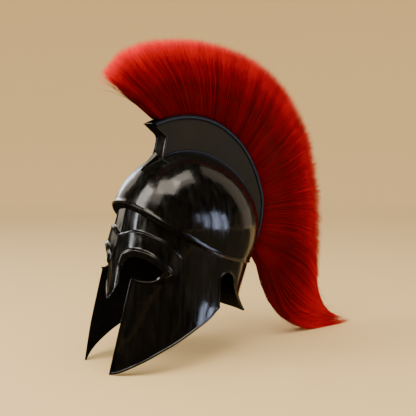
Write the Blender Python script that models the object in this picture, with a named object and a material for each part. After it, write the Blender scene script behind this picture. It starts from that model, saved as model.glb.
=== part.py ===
# Corinthian helmet with a tall horsehair crest, at rest on its two cheek tips and the tail of its plume.
# Head frame of the shapes: +X across, +Y to the back of the head, +Z up, z = 0 at the cheek tips.
# An empty leans the head frame back into the rest pose: floor at z = 0, face to -Y. Lengths in metres.

import math

import bmesh
import bpy
from mathutils import Vector
from mathutils.geometry import delaunay_2d_cdt

# Skull: the domed crown over the carination, its step all round the head
SKULL_LENGTH = 0.2420
SKULL_WIDTH = 0.192
SKULL_FRONT = -0.021
SKULL_WIDEST_SHARE = 0.449
SKULL_TOP = 0.349
SKULL_EQUATOR = 0.2355
FRONT_ROUNDNESS = 2.3
BACK_ROUNDNESS = 2.0
RIM_BACK = 0.2015
RIM_RISE = 0.0495
RIM_SLOPE_POWER = 2.7
RIM_BEAD = 0.0014
RIM_BEAD_BAND = 0.004
SHEET = 0.0016
GAP = 0.0003

# Lip under the carination, and how far the face plate reaches up behind it
LIP_OVERHANG = {"front": 0.0100, "side": 0.0045, "back": 0.0030}
LIP_DROP = {"front": 0.0110, "side": 0.0050, "back": 0.0034}
FACE_TUCK = 0.006
LIP_BLEND = 0.045

# Face plate: cheeks, nasal and neck guard
FACE_FRONT = -0.010
FACE_BACK = 0.209
CHEEK_LEAN = 0.015
CHEEK_TOP = 0.1455
CHEEK_BACK = 0.1252
SLIT_ANGLE = 26.8
TIP_ANGLE = 24.7
NOSE_ANGLE = 6.9
NASAL_ANGLE = 12.2
EYE_SWEEP = 50.6
EYE_HEIGHT = 0.0390
NASAL_TIP = 0.1005
NASAL_TUCK = 0.007
BROW_HEIGHT = 0.2127
BROW_STEP = 0.0035
BROW_BAND = 0.0035
NOTCH_TOP = 0.180
NECK_BOTTOM = 0.122
NECK_ANGLE = 157.0
NECK_FLARE = 0.016
NECK_FLARE_HEIGHT = 0.030
EYE_RIM_WIDTH = 0.0050
EYE_RIM_PROUD = 0.0034
EYE_EDGE_SHARE = 0.12
EDGE_BEAD_WIDTH = 0.0042
EDGE_BEAD_PROUD = 0.0012

# Crest holder over the skull
CREST_START = 55.9
CREST_END = 188.0
CREST_HEIGHT = 0.0545
CREST_WIDTH = 0.028
CREST_RIM = 0.0066
CREST_FOOT_RIM = 0.0030
CREST_RIM_PROUD = 0.0014
PLATE_OVERLAP = 0.0010
PLATE_GAP = 0.0006
PLATE_BEAD_WIDTH = 0.0034
PLATE_BEAD_PROUD = 0.0018
FOOT_SWEEP = 17.0
FOOT_WIDTH = 0.012
FOOT_HEIGHT = 0.009

# Plume
PLUME_REACH = 0.285
PLUME_SPREAD = 0.021
PLUME_CLEAR = 0.0012
LOCKS = 30
LOCK_DEPTH = 0.28
LOCK_NOTCH = 0.035
BEND = 0.33
TAIL_START = 0.85
TAIL_BEND = {"root": 0.24, "tip": 0.74}

# Rest pose and mesh fineness
REST_TILT = 15.0
CROWN_COLUMNS = 60
CROWN_ROWS = 9
EDGE_STEP = 0.0062
FIELD_STEP = 0.0115
CREST_STATIONS = 22
PANEL_LEVELS = (0.12, 0.30, 0.50, 0.70, 0.88)

# Face plate levels: height as a share of the carination's front height, half width as a share of
# the skull's, lean as a share of the cheek lean, and the squareness of the section
FACE_SECTIONS = (
    {"height": -0.12, "width": 0.78, "lean": -0.14, "square": 2.5},
    {"height": 0.000, "width": 0.82, "lean": -0.04, "square": 2.5},
    {"height": 0.215, "width": 0.86, "lean": 0.20, "square": 2.5},
    {"height": 0.390, "width": 0.885, "lean": 0.14, "square": 2.6},
    {"height": 0.580, "width": 0.905, "lean": 0.03, "square": 2.75},
    {"height": 0.800, "width": 0.93, "lean": 0.00, "square": 2.6},
    {"height": 1.000, "width": 0.93, "lean": 0.02, "square": 2.3},
)
# Eye: share of the sweep out from the nose, share of the eye height over the cheek's top
EYE_LOWER = ((0.393, 0.0), (0.50, -0.018), (0.60, -0.018), (0.692, 0.02), (0.777, 0.095), (0.834, 0.197),
             (0.877, 0.345), (0.895, 0.423))
EYE_UPPER = ((0.895, 0.423), (0.83, 0.526), (0.737, 0.633), (0.646, 0.71), (0.542, 0.754), (0.431, 0.751),
             (0.312, 0.685), (0.225, 0.577), (0.172, 0.43), (0.144, 0.295))
# Crest of the raised rim round the eye, in the same shares.
LID_LOWER = ((0.43, -0.02), (0.512, -0.069), (0.611, -0.069), (0.70, -0.038), (0.796, 0.044), (0.875, 0.167),
             (0.953, 0.331), (1.0, 0.455))
LID_UPPER = ((1.0, 0.455), (0.943, 0.587), (0.85, 0.721), (0.747, 0.854), (0.648, 0.936), (0.547, 0.977),
             (0.425, 0.985), (0.312, 0.93), (0.204, 0.833), (0.128, 0.71), (0.085, 0.567), (0.081, 0.413),
             (0.111, 0.259))
# Nasal: angle as a share of the nose angle, height as a share of the eye-to-tip drop
NASAL_EDGE = ((1.164, 1.0), (1.02, 0.912), (0.967, 0.788), (1.0, 0.611), (0.967, 0.504), (0.78, 0.354),
              (0.426, 0.168), (0.0, 0.0))
# Cheek's lower edge from the tip to the back corner: share of the sweep, share of the corner's height
CHEEK_EDGE = ((0.0, 0.0), (0.095, 0.052), (0.184, 0.131), (0.322, 0.265), (0.427, 0.372), (0.581, 0.514),
              (0.781, 0.715), (0.914, 0.857), (1.0, 1.0))
# Notch between cheek and neck guard: angle, share of its height over the cheek's back corner
NOTCH_EDGE = ((121.5, 0.0), (116.7, 0.454), (113.3, 0.754), (115.1, 0.887), (121.6, 1.0), (129.1, 0.936),
              (136.7, 0.644), (145.4, 0.400), (154.0, 0.205))
# Brow ridge: angle, share of the brow height
BROW_LINE = ((0.0, 0.955), (8.2, 0.977), (18.5, 0.999), (31.0, 1.0), (41.0, 0.986), (51.0, 0.966),
             (59.0, 0.928), (67.0, 0.879))
# Crest holder's height: share of its arc, share of the crest height
CREST_PROFILE = ((0.0, 0.99), (0.15, 1.02), (0.224, 1.02), (0.305, 0.995), (0.376, 0.93), (0.447, 0.853),
                 (0.553, 0.69), (0.649, 0.547), (0.738, 0.44), (0.805, 0.32), (0.896, 0.185), (1.0, 0.09))
# Front of the crest holder: share of its height, angle past its start, half width as a share of the holder's
CREST_FRONT = (
    {"rise": 0.00, "angle": -0.4, "width": 1.22},
    {"rise": 0.15, "angle": 1.7, "width": 1.16},
    {"rise": 0.33, "angle": 4.4, "width": 1.14},
    {"rise": 0.52, "angle": 5.9, "width": 1.14},
    {"rise": 0.78, "angle": 2.7, "width": 1.07},
    {"rise": 1.00, "angle": 0.0, "width": 1.00},
)
# Plume, from the forehead round to the tail, in the rest pose: share of the locks passed, share of
# the crest arc at the root, angle and reach of the tip from the skull's middle, directions of the
# lock at its root and tip (0 forward, 90 up, 180 back, 270 down), side spread, and how much stays at the tip
PLUME_LOCKS = (
    {"at": 0.00, "root": 0.030, "tip": 61.0, "reach": 0.925, "leave": 41, "arrive": 41, "spread": 0.85, "end": 0.35},
    {"at": 0.07, "root": 0.10, "tip": 71.0, "reach": 0.977, "leave": 57, "arrive": 56, "spread": 1.00, "end": 0.35},
    {"at": 0.20, "root": 0.25, "tip": 97.0, "reach": 0.990, "leave": 87, "arrive": 92, "spread": 1.00, "end": 0.35},
    {"at": 0.34, "root": 0.45, "tip": 126.0, "reach": 1.018, "leave": 121, "arrive": 124, "spread": 1.00, "end": 0.35},
    {"at": 0.46, "root": 0.60, "tip": 148.0, "reach": 1.000, "leave": 146, "arrive": 150, "spread": 1.00, "end": 0.35},
    {"at": 0.56, "root": 0.72, "tip": 166.0, "reach": 0.972, "leave": 165, "arrive": 172, "spread": 1.00, "end": 0.38},
    {"at": 0.65, "root": 0.82, "tip": 184.0, "reach": 0.975, "leave": 177, "arrive": 205, "spread": 1.05, "end": 0.42},
    {"at": 0.74, "root": 0.90, "tip": 199.0, "reach": 1.010, "leave": 190, "arrive": 240, "spread": 1.10, "end": 0.50},
    {"at": 0.82, "root": 0.945, "tip": 206.5, "reach": 1.062, "leave": 205, "arrive": 245, "spread": 1.12, "end": 0.55},
    {"at": 0.90, "root": 0.970, "tip": 210.4, "reach": 1.190, "leave": 210, "arrive": 215, "spread": 1.12, "end": 0.50},
    {"at": 1.00, "root": 0.978, "tip": 211.0, "reach": 1.396, "leave": 212, "arrive": 171, "spread": 1.08, "end": 0.42},
)
LOCK_ROWS = (0.0, 0.10, 0.23, 0.38, 0.55, 0.72, 0.87, 1.0)

MIDDLE = SKULL_FRONT + SKULL_WIDEST_SHARE * SKULL_LENGTH
DOME_RISE = SKULL_TOP - SKULL_EQUATOR
RIM_FRONT = RIM_BACK + RIM_RISE
TILT = math.radians(REST_TILT)
UNROLL_RADIUS = 0.45 * SKULL_WIDTH


def ease(share):
    share = min(max(share, 0.0), 1.0)
    return share * share * (3 - 2 * share)


def smooth_table(x, rows):
    """Value at x of a smooth curve through the (x, value) rows."""
    if x <= rows[0][0]:
        return rows[0][1]
    for i in range(len(rows) - 1):
        if x > rows[i + 1][0]:
            continue
        before = rows[max(i - 1, 0)]
        start, end = rows[i], rows[i + 1]
        after = rows[min(i + 2, len(rows) - 1)]
        width = end[0] - start[0]
        slope_in = (end[1] - before[1]) / (end[0] - before[0]) * width
        slope_out = (after[1] - start[1]) / (after[0] - start[0]) * width
        t = (x - start[0]) / width
        return (start[1] * (1 + 2 * t) * (1 - t) ** 2 + slope_in * t * (1 - t) ** 2
                + end[1] * t * t * (3 - 2 * t) - slope_out * t * t * (1 - t))
    return rows[-1][1]


def column(table, key, name, x):
    return smooth_table(x, [(row[key], row[name]) for row in table])


def oval(angle, half_width, front, back, front_power, back_power):
    """Radius at an angle from the front of a rounded oval with unlike ends."""
    along, across = math.cos(angle), abs(math.sin(angle))
    power = back_power + (front_power - back_power) * ease(along + 0.5)
    length = front if along > 0 else back
    return (across ** power / half_width ** power + abs(along) ** power / length ** power) ** (-1 / power)


def around(angle, sizes):
    """Front, side and back sizes, eased into each other round the head."""
    along = math.cos(angle)
    return (sizes["side"] + (sizes["front"] - sizes["side"]) * ease(along)
            + (sizes["back"] - sizes["side"]) * ease(-along))


def rim_height(angle):
    return RIM_BACK + RIM_RISE * ((1 + math.cos(angle)) / 2) ** RIM_SLOPE_POWER


def skull_plan(angle, inset=0.0):
    back = SKULL_LENGTH * (1 - SKULL_WIDEST_SHARE)
    return oval(angle, SKULL_WIDTH / 2 - inset, MIDDLE - SKULL_FRONT - inset, back - inset,
                FRONT_ROUNDNESS, BACK_ROUNDNESS)


def polar(angle, radius, height):
    return Vector((radius * math.sin(angle), MIDDLE - radius * math.cos(angle), height))


def rim_radius(angle):
    share = (rim_height(angle) - SKULL_EQUATOR) / DOME_RISE
    return skull_plan(angle) * math.sqrt(1 - share * share) + RIM_BEAD


def face_radius(angle, height):
    """Outer radius of the plain face plate, before its ridges and rims."""
    level = height / RIM_FRONT
    half_width = column(FACE_SECTIONS, "height", "width", level) * SKULL_WIDTH / 2
    front = MIDDLE - FACE_FRONT + CHEEK_LEAN * column(FACE_SECTIONS, "height", "lean", level)
    square = column(FACE_SECTIONS, "height", "square", level)
    radius = oval(angle, half_width, front, FACE_BACK - MIDDLE, square, BACK_ROUNDNESS + 0.1)
    lip_height = rim_height(angle) - around(angle, LIP_DROP)
    lip_radius = rim_radius(angle) - around(angle, LIP_OVERHANG) - GAP
    joined = ease((height - lip_height + LIP_BLEND) / LIP_BLEND)
    radius += (lip_radius - radius) * joined
    below = min(max((NECK_BOTTOM + NECK_FLARE_HEIGHT - height) / NECK_FLARE_HEIGHT, 0.0), 1.3)
    tuck = ease((CHEEK_TOP + EYE_HEIGHT - height) / (CHEEK_TOP + EYE_HEIGHT - NASAL_TIP))
    radius -= NASAL_TUCK * tuck * ease(2 - 2 * math.degrees(angle) / TIP_ANGLE)
    return radius + NECK_FLARE * below ** 2 * ease((-math.cos(angle) - 0.45) / 0.4)


def face_point(angle, height):
    return polar(angle, face_radius(angle, height), height)


def face_normal(angle, height):
    step = 0.002
    turn = face_point(angle + step, height) - face_point(angle - step, height)
    rise = face_point(angle, height + step * UNROLL_RADIUS) - face_point(angle, height - step * UNROLL_RADIUS)
    return turn.cross(rise).normalized()


def skull_reach(angle, across=0.0):
    """Distance from the skull's middle to its surface in a plane beside the middle one.

    The angle is 0 forward, 90 up and 180 back, in degrees."""
    forward, up = math.cos(math.radians(angle)), math.sin(math.radians(angle))
    near, far = 0.5 * DOME_RISE, 2.0 * SKULL_LENGTH
    for _ in range(40):
        reach = (near + far) / 2
        y, z = -forward * reach, up * reach
        plan = skull_plan(math.atan2(across, -y))
        inside = (across * across + y * y) / plan ** 2 + (z / DOME_RISE) ** 2 < 1
        near, far = (reach, far) if inside else (near, reach)
    return near


def crest_point(angle, reach, across=0.0):
    turn = math.radians(angle)
    return Vector((across, MIDDLE - reach * math.cos(turn), SKULL_EQUATOR + reach * math.sin(turn)))


def to_rest(point):
    """Y and Z in the rest pose of a point in the head frame."""
    return Vector((point.y * math.cos(TILT) + point.z * math.sin(TILT),
                   point.z * math.cos(TILT) - point.y * math.sin(TILT)))


def from_rest(across, y, z):
    return Vector((across, y * math.cos(TILT) - z * math.sin(TILT), y * math.sin(TILT) + z * math.cos(TILT)))


def material(name, colour, roughness, metallic):
    made = bpy.data.materials.new(name)
    made.use_nodes = True
    shader = made.node_tree.nodes["Principled BSDF"]
    shader.inputs["Base Color"].default_value = (*colour, 1)
    shader.inputs["Roughness"].default_value = roughness
    shader.inputs["Metallic"].default_value = metallic
    return made


def finish(name, bm, rest, look, sharp_angle=35):
    """Makes the object of a closed bmesh, in the rest empty."""
    bmesh.ops.recalc_face_normals(bm, faces=bm.faces)
    mesh = bpy.data.meshes.new(name)
    bm.to_mesh(mesh)
    bm.free()
    mesh.shade_smooth()
    mesh.set_sharp_from_angle(angle=math.radians(sharp_angle))
    mesh.materials.append(look)
    made = bpy.data.objects.new(name, mesh)
    bpy.context.collection.objects.link(made)
    made.parent = rest
    return made


def skin_rings(bm, rings, caps=True):
    """Joins closed rings of points into a tube. A cap joins the ring's first half to its second."""
    loops = [[bm.verts.new(point) for point in ring] for ring in rings]
    count = len(loops[0])
    for loop, after in zip(loops, loops[1:]):
        for i in range(count):
            j = (i + 1) % count
            bm.faces.new((loop[i], loop[j], after[j], after[i]))
    if caps:
        cap_strip(bm, loops[0])
        cap_strip(bm, loops[-1])
    return loops


def cap_strip(bm, loop):
    for k in range(len(loop) // 2 - 1):
        bm.faces.new((loop[k], loop[k + 1], loop[-k - 2], loop[-k - 1]))


def build_crown(rest, look):
    """Domed skull, rim bead and the lip that turns in under it, one pressed sheet."""
    bm = bmesh.new()
    top = bm.verts.new((0, MIDDLE, SKULL_TOP))
    top_inside = bm.verts.new((0, MIDDLE, SKULL_TOP - SHEET))
    columns = []
    for i in range(CROWN_COLUMNS):
        angle = 2 * math.pi * i / CROWN_COLUMNS
        rim = rim_height(angle)
        rim_turn = math.acos((rim - SKULL_EQUATOR) / DOME_RISE)
        outer, inner = skull_plan(angle), skull_plan(angle, SHEET)
        bead_turn = RIM_BEAD_BAND / outer
        turns = [(rim_turn - bead_turn) * (row / CROWN_ROWS) ** 0.9 for row in range(1, CROWN_ROWS + 1)]
        profile = [(outer * math.sin(turn), SKULL_EQUATOR + DOME_RISE * math.cos(turn)) for turn in turns]
        radius = rim_radius(angle)
        profile.append((radius, rim))
        over, drop = around(angle, LIP_OVERHANG), around(angle, LIP_DROP)
        profile.append((radius - 0.25 * over, rim - 0.55 * drop))
        profile.append((radius - over, rim - drop))
        profile.append((radius - over, rim - drop + 1.25 * SHEET))
        profile.append((radius - 0.25 * over - SHEET, rim - 0.55 * drop + 0.8 * SHEET))
        for turn in reversed(turns):
            profile.append((inner * math.sin(turn), SKULL_EQUATOR + (DOME_RISE - SHEET) * math.cos(turn)))
        columns.append([bm.verts.new(polar(angle, r, z)) for r, z in profile])
    for i, this in enumerate(columns):
        after = columns[(i + 1) % CROWN_COLUMNS]
        bm.faces.new((top, this[0], after[0]))
        bm.faces.new((top_inside, after[-1], this[-1]))
        for j in range(len(this) - 1):
            bm.faces.new((this[j], this[j + 1], after[j + 1], after[j]))
    return finish("crown", bm, rest, look)


def flat_run(knots):
    """Even steps along a smooth line through (degrees, height) knots, on the unrolled face plate."""
    points = [Vector((math.radians(degrees) * UNROLL_RADIUS, height)) for degrees, height in knots]
    lengths = [0.0]
    for a, b in zip(points, points[1:]):
        lengths.append(lengths[-1] + (b - a).length)
    count = max(1, round(lengths[-1] / EDGE_STEP))
    across = list(zip(lengths, [p.x for p in points]))
    up = list(zip(lengths, [p.y for p in points]))
    stations = [lengths[-1] * i / count for i in range(count)]
    return [Vector((smooth_table(s, across), smooth_table(s, up))) for s in stations]


def eye(knots):
    return [(NOSE_ANGLE + share * EYE_SWEEP, CHEEK_TOP + rise * EYE_HEIGHT) for share, rise in knots]


def lid_crest():
    """The rim's crest round the eye, on the unrolled sheet, from the cheek round the corner to the nose."""
    return flat_run(eye(LID_LOWER)) + flat_run(eye(LID_UPPER))


def face_edges():
    """Half of the face plate's outline on its unrolled sheet, and the kind of edge after each point."""
    def top(degrees):
        angle = math.radians(degrees)
        return degrees, rim_height(angle) - around(angle, LIP_DROP) + FACE_TUCK

    nasal_top = CHEEK_TOP + EYE_UPPER[-1][1] * EYE_HEIGHT
    nasal = [(NASAL_ANGLE * share, NASAL_TIP + (nasal_top - NASAL_TIP) * rise) for share, rise in NASAL_EDGE]
    corner = NOTCH_EDGE[0][0]
    cheek = [(TIP_ANGLE + (corner - TIP_ANGLE) * share, CHEEK_BACK * rise) for share, rise in CHEEK_EDGE]
    notch = [(degrees, CHEEK_BACK + (NOTCH_TOP - CHEEK_BACK) * rise) for degrees, rise in NOTCH_EDGE]
    neck_corner = (NECK_ANGLE, NECK_BOTTOM + 0.002)
    runs = (
        ("hidden", [top(degrees) for degrees in range(0, 181, 15)]),
        ("middle", [top(180), (180, NECK_BOTTOM)]),
        ("bead", [(180, NECK_BOTTOM), ((180 + NECK_ANGLE) / 2, NECK_BOTTOM), neck_corner]),
        ("bead", [neck_corner] + notch[:0:-1] + [notch[0]]),
        ("bead", cheek[::-1]),
        ("bead", [(TIP_ANGLE, 0), (SLIT_ANGLE - 0.6, CHEEK_TOP * 0.4), eye(EYE_LOWER)[0]]),
        ("eye", eye(EYE_LOWER)),
        ("eye", eye(EYE_UPPER)),
        ("bead", nasal),
        ("middle", [nasal[-1], top(0)]),
    )
    points, kinds = [], []
    for kind, knots in runs:
        run = flat_run(knots)
        points += run
        kinds += [kind] * len(run)
    return points, kinds


def distance_to(point, a, b):
    along = b - a
    share = min(max((point - a).dot(along) / along.length_squared, 0.0), 1.0)
    return (point - a - along * share).length


def edge_distance(point, points, kinds, wanted):
    count = len(points)
    near = [distance_to(point, points[i], points[(i + 1) % count]) for i in range(count) if kinds[i] in wanted]
    return min(near)


def inside(point, points):
    """True within the closed outline, by counting the edges crossed."""
    crossed = False
    for a, b in zip(points, points[1:] + points[:1]):
        if (a.y > point.y) != (b.y > point.y) and point.x < a.x + (b.x - a.x) * (point.y - a.y) / (b.y - a.y):
            crossed = not crossed
    return crossed


def brow_height(degrees):
    return BROW_HEIGHT * smooth_table(degrees, BROW_LINE)


def relief(point, points, kinds, lid):
    """How far the face plate stands out at a point: brow band, eye rims and edge beads."""
    degrees = math.degrees(point.x / UNROLL_RADIUS)
    step = ease((brow_height(degrees) - point.y) / BROW_BAND) * ease((BROW_LINE[-1][0] - degrees) / 14)
    outside_nose = ease((degrees - NOSE_ANGLE) / 8)
    fade = 1 - outside_nose * ease((CHEEK_TOP + 0.5 * EYE_HEIGHT - point.y) / (0.5 * EYE_HEIGHT))
    out = BROW_STEP * step * fade
    eye = edge_distance(point, points, kinds, ("eye",))
    bead = edge_distance(point, points, kinds, ("bead",))
    crest = min(distance_to(point, a, b) for a, b in zip(lid, lid[1:]))
    if inside(point, lid):
        rim = EYE_EDGE_SHARE + (1 - EYE_EDGE_SHARE) * eye / (eye + crest)
    else:
        rim = ease(1.25 * (1 - crest / EYE_RIM_WIDTH))
    return out + max(EYE_RIM_PROUD * rim, EDGE_BEAD_PROUD * ease(2 * (1 - bead / EDGE_BEAD_WIDTH)))


def field_points(points, kinds, lid):
    """Points inside the outline: lines along each rim and bead, the brow ridge, and an even field."""
    chosen = []
    count = len(points)

    def clear(point, room):
        return all((point - other).length > room for other in chosen)

    for i in range(1, len(lid) - 1):
        tangent = (lid[i + 1] - lid[i - 1]).normalized()
        for aside in (0.0, 0.5, 1.0):
            point = lid[i] + Vector((tangent.y, -tangent.x)) * EYE_RIM_WIDTH * aside
            near = edge_distance(point, points, kinds, ("eye", "bead", "middle", "hidden"))
            if inside(point, points) and near > 0.12 * EDGE_STEP and clear(point, 0.3 * EDGE_STEP):
                chosen.append(point)
    for i in range(count):
        if kinds[i] != "bead":
            continue
        tangent = (points[(i + 1) % count] - points[i - 1]).normalized()
        inward = Vector((tangent.y, -tangent.x))
        for share in (0.5, 1.0):
            point = points[i] + inward * EDGE_BEAD_WIDTH * share
            near = edge_distance(point, points, kinds, ("eye", "bead", "middle", "hidden"))
            if inside(point, points) and near > 0.93 * EDGE_BEAD_WIDTH * share and clear(point, 0.35 * EDGE_STEP):
                chosen.append(point)
    for i in range(13):
        degrees = BROW_LINE[-1][0] * i / 12
        for drop in (0.0, BROW_BAND):
            point = Vector((math.radians(degrees) * UNROLL_RADIUS, brow_height(degrees) - drop))
            if i > 0 and clear(point, 0.3 * EDGE_STEP):
                chosen.append(point)
    rows = round((RIM_FRONT + 0.02) / (FIELD_STEP * 0.866))
    columns = round(math.pi * UNROLL_RADIUS / FIELD_STEP)
    for row in range(rows):
        for i in range(columns + 1):
            point = Vector(((i + 0.5 * (row % 2)) * FIELD_STEP, row * FIELD_STEP * 0.866))
            if not inside(point, points) or not clear(point, 0.6 * FIELD_STEP):
                continue
            if edge_distance(point, points, kinds, ("eye", "bead", "middle", "hidden")) > 0.55 * FIELD_STEP:
                chosen.append(point)
    return chosen


def build_face_guard(rest, look):
    """Cheeks, nasal, eye rims, brow and neck guard, one pressed sheet cut from an unrolled outline."""
    points, kinds = face_edges()
    lid = lid_crest()
    inner_points = field_points(points, kinds, lid)
    outline = list(range(len(points)))
    flat, _, triangles, *_ = delaunay_2d_cdt(points + inner_points, [], [outline], 1, 1e-7)
    bm = bmesh.new()
    outer, back = [], []
    for point in flat:
        angle = point.x / UNROLL_RADIUS
        normal = face_normal(angle, point.y)
        place = face_point(angle, point.y) + normal * relief(point, points, kinds, lid)
        under = place - normal * SHEET
        on_middle = min(angle, math.pi - angle) < 1e-6
        if on_middle:
            place.x = under.x = 0.0
        outer.append(bm.verts.new(place))
        back.append(bm.verts.new(under))
    for a, b, c in triangles:
        bm.faces.new((outer[a], outer[b], outer[c]))
        bm.faces.new((back[c], back[b], back[a]))
    pairs = {vert: under for vert, under in zip(outer, back)}
    for edge in [e for e in bm.edges if len(e.link_faces) == 1 and e.verts[0] in pairs]:
        a, b = edge.link_loops[0].vert, edge.link_loops[0].link_loop_next.vert
        if abs(a.co.x) + abs(b.co.x) < 1e-9:
            continue
        bm.faces.new((b, a, pairs[a], pairs[b]))
    geometry = bm.verts[:] + bm.edges[:] + bm.faces[:]
    bmesh.ops.mirror(bm, geom=geometry, axis="X", merge_dist=1e-6)
    return finish("face_guard", bm, rest, look)


def crest_height(share):
    return CREST_HEIGHT * smooth_table(share, CREST_PROFILE)


def crest_front_angle(rise):
    return CREST_START + column(CREST_FRONT, "rise", "angle", rise)


def crest_place(share, rise, across, lift=0.0):
    """A point of the crest holder: share of its arc, share of its height, place across.

    Only its base follows the skull across, so its rims and floor are square."""
    first = crest_front_angle(rise)
    angle = first + share * (CREST_END - first)
    reach = skull_reach(angle, across if rise == 0 else 0.0) + GAP + rise * crest_height(share) + lift
    return crest_point(angle, reach, across)


def holder_levels(share):
    """Shares of the holder's height at which its side plates step or bend, base to top."""
    height = crest_height(share)
    foot = min(CREST_FOOT_RIM / height, 0.38)
    rim = 1 - min(CREST_RIM / height, 0.45)
    step = 0.2 * SHEET / CREST_HEIGHT
    between = [foot + step + (rim - foot - 2 * step) * part for part in PANEL_LEVELS]
    return [0.0, foot, foot + step] + between + [rim - step, rim, 1.0]


def build_crest_holder(rest, look):
    """Open channel that follows the skull: two side plates with a rim above and below, and a floor."""
    half = CREST_WIDTH / 2
    inner = half - SHEET
    bm = bmesh.new()
    rings = []
    for i in range(CREST_STATIONS + 1):
        share = i / CREST_STATIONS
        levels = holder_levels(share)
        proud = [0, 1, len(levels) - 2, len(levels) - 1]
        outside = [(half + (CREST_RIM_PROUD if k in proud else 0.0), rise) for k, rise in enumerate(levels)]
        within = [(inner, rise) for rise in [SHEET / crest_height(share)] + levels[1:]]
        half_ring = outside + within[::-1]
        right = [crest_place(share, rise, across) for across, rise in half_ring]
        left = [crest_place(share, rise, -across) for across, rise in reversed(half_ring)]
        floor = [crest_place(share, within[0][1], across) for across in (0.6 * half, 0.0, -0.6 * half)]
        base = [crest_place(share, 0.0, across) for across in (-0.6 * half, 0.0, 0.6 * half)]
        rings.append(right + floor + left + base)
    loops = skin_rings(bm, rings, caps=False)
    count = len(outside)
    for loop in (loops[0], loops[-1]):
        right, left = loop[:2 * count], loop[2 * count + 3:-3]
        cap_strip(bm, right)
        cap_strip(bm, left)
        over, under = loop[2 * count - 1:2 * count + 4], loop[-4:] + loop[:1]
        cap_strip(bm, over + under)
    return finish("crest_holder", bm, rest, look)


def build_crest_front(rest, look):
    """Concave front plate with a beak at its top and a raised bead down each side."""
    rings = []
    for rise in holder_levels(0.0):
        half = column(CREST_FRONT, "rise", "width", rise) * CREST_WIDTH / 2 + PLATE_OVERLAP * (1 - rise)
        reach = skull_reach(crest_front_angle(rise)) + GAP + rise * crest_height(0.0)
        gap = math.degrees(PLATE_GAP / reach)
        thick = gap + math.degrees(SHEET / reach)
        bead = thick + math.degrees(PLATE_BEAD_PROUD / reach)
        inner = half - PLATE_BEAD_WIDTH
        panel = inner - 0.3 * PLATE_BEAD_WIDTH
        front = [(half, bead), (inner, bead), (panel, thick), (0.5 * panel, thick)]
        front += [(0.0, thick)] + [(-across, ahead) for across, ahead in reversed(front)]
        section = front + [(across, gap) for across, _ in reversed(front)]
        ring = []
        for across, ahead in section:
            angle = crest_front_angle(rise) - ahead
            ring.append(crest_point(angle, reach if rise > 0 else skull_reach(angle, across) + GAP, across))
        rings.append(ring)
    bm = bmesh.new()
    skin_rings(bm, rings)
    return finish("crest_front_plate", bm, rest, look)


def build_crest_foot(rest, look):
    """Keel that runs from the front plate's base forward down the skull, and dies out."""
    rings = []
    stations = 7
    ahead = math.degrees((2 * GAP + SHEET + PLATE_BEAD_PROUD) / SKULL_LENGTH * 2) + 0.3
    start = crest_front_angle(0.0) - ahead
    for i in range(stations + 1):
        share = i / stations
        angle = start - FOOT_SWEEP * share
        half = FOOT_WIDTH / 2 * (1 - 0.85 * share)
        height = FOOT_HEIGHT * (1 - share) ** 1.3 + SHEET
        ridge = [(-half, 0.2), (-0.45 * half, 0.75), (0.0, 1.0), (0.45 * half, 0.75), (half, 0.2)]
        section = ridge + [(across, 0.0) for across, _ in reversed(ridge)]
        ring = [crest_point(angle, skull_reach(angle, across) + GAP + height * rise, across)
                for across, rise in section]
        rings.append(ring)
    bm = bmesh.new()
    skin_rings(bm, rings)
    return finish("crest_foot", bm, rest, look)


def bezier(a, b, c, d, t):
    s = 1 - t
    return a * s ** 3 + b * 3 * s * s * t + c * 3 * s * t * t + d * t ** 3


def direction(degrees):
    turn = math.radians(degrees)
    return Vector((-math.cos(turn), math.sin(turn)))


def lock_path(share, ridge, floor):
    """One column of the plume: rest-pose (y, z) points with a half width each, from root to tip."""
    look = {name: column(PLUME_LOCKS, "at", name, share) for name in PLUME_LOCKS[0]}
    arc = look["root"]
    root_half = CREST_WIDTH / 2 - SHEET - GAP
    height = crest_height(arc)
    rows = []
    floor_share = (SHEET + GAP) / height
    for rise, lift in ((floor_share, 0.0), (0.40, 0.0), (0.62, 0.0), (1.0, 0.0), (1.0, PLUME_CLEAR)):
        rows.append((to_rest(crest_place(arc, rise, 0.0, lift)), root_half))
    start = rows[-1][0]
    middle = to_rest(Vector((0, MIDDLE, SKULL_EQUATOR)))
    reach = PLUME_REACH * look["reach"]
    tip = middle + direction(look["tip"]) * reach
    if not ridge:
        tip -= direction(look["arrive"]) * LOCK_NOTCH * (tip - start).length
    chord = (tip - start).length
    tail = ease((share - TAIL_START) / (1 - TAIL_START))
    leave = start + direction(look["leave"]) * chord * (BEND + (TAIL_BEND["root"] - BEND) * tail)
    arrive = tip - direction(look["arrive"]) * chord * (BEND + (TAIL_BEND["tip"] - BEND) * tail)
    spread = PLUME_SPREAD * look["spread"]
    for t in LOCK_ROWS[1:]:
        point = bezier(start, leave, arrive, tip, t)
        point.y = max(point.y, floor)
        out = root_half + (spread - root_half) * ease(2.2 * t)
        half = out * (1 - (1 - look["end"]) * ease((t - 0.35) / 0.65))
        rows.append((point, half if ridge else half * (1 - LOCK_DEPTH * ease(3 * t))))
    return rows


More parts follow.
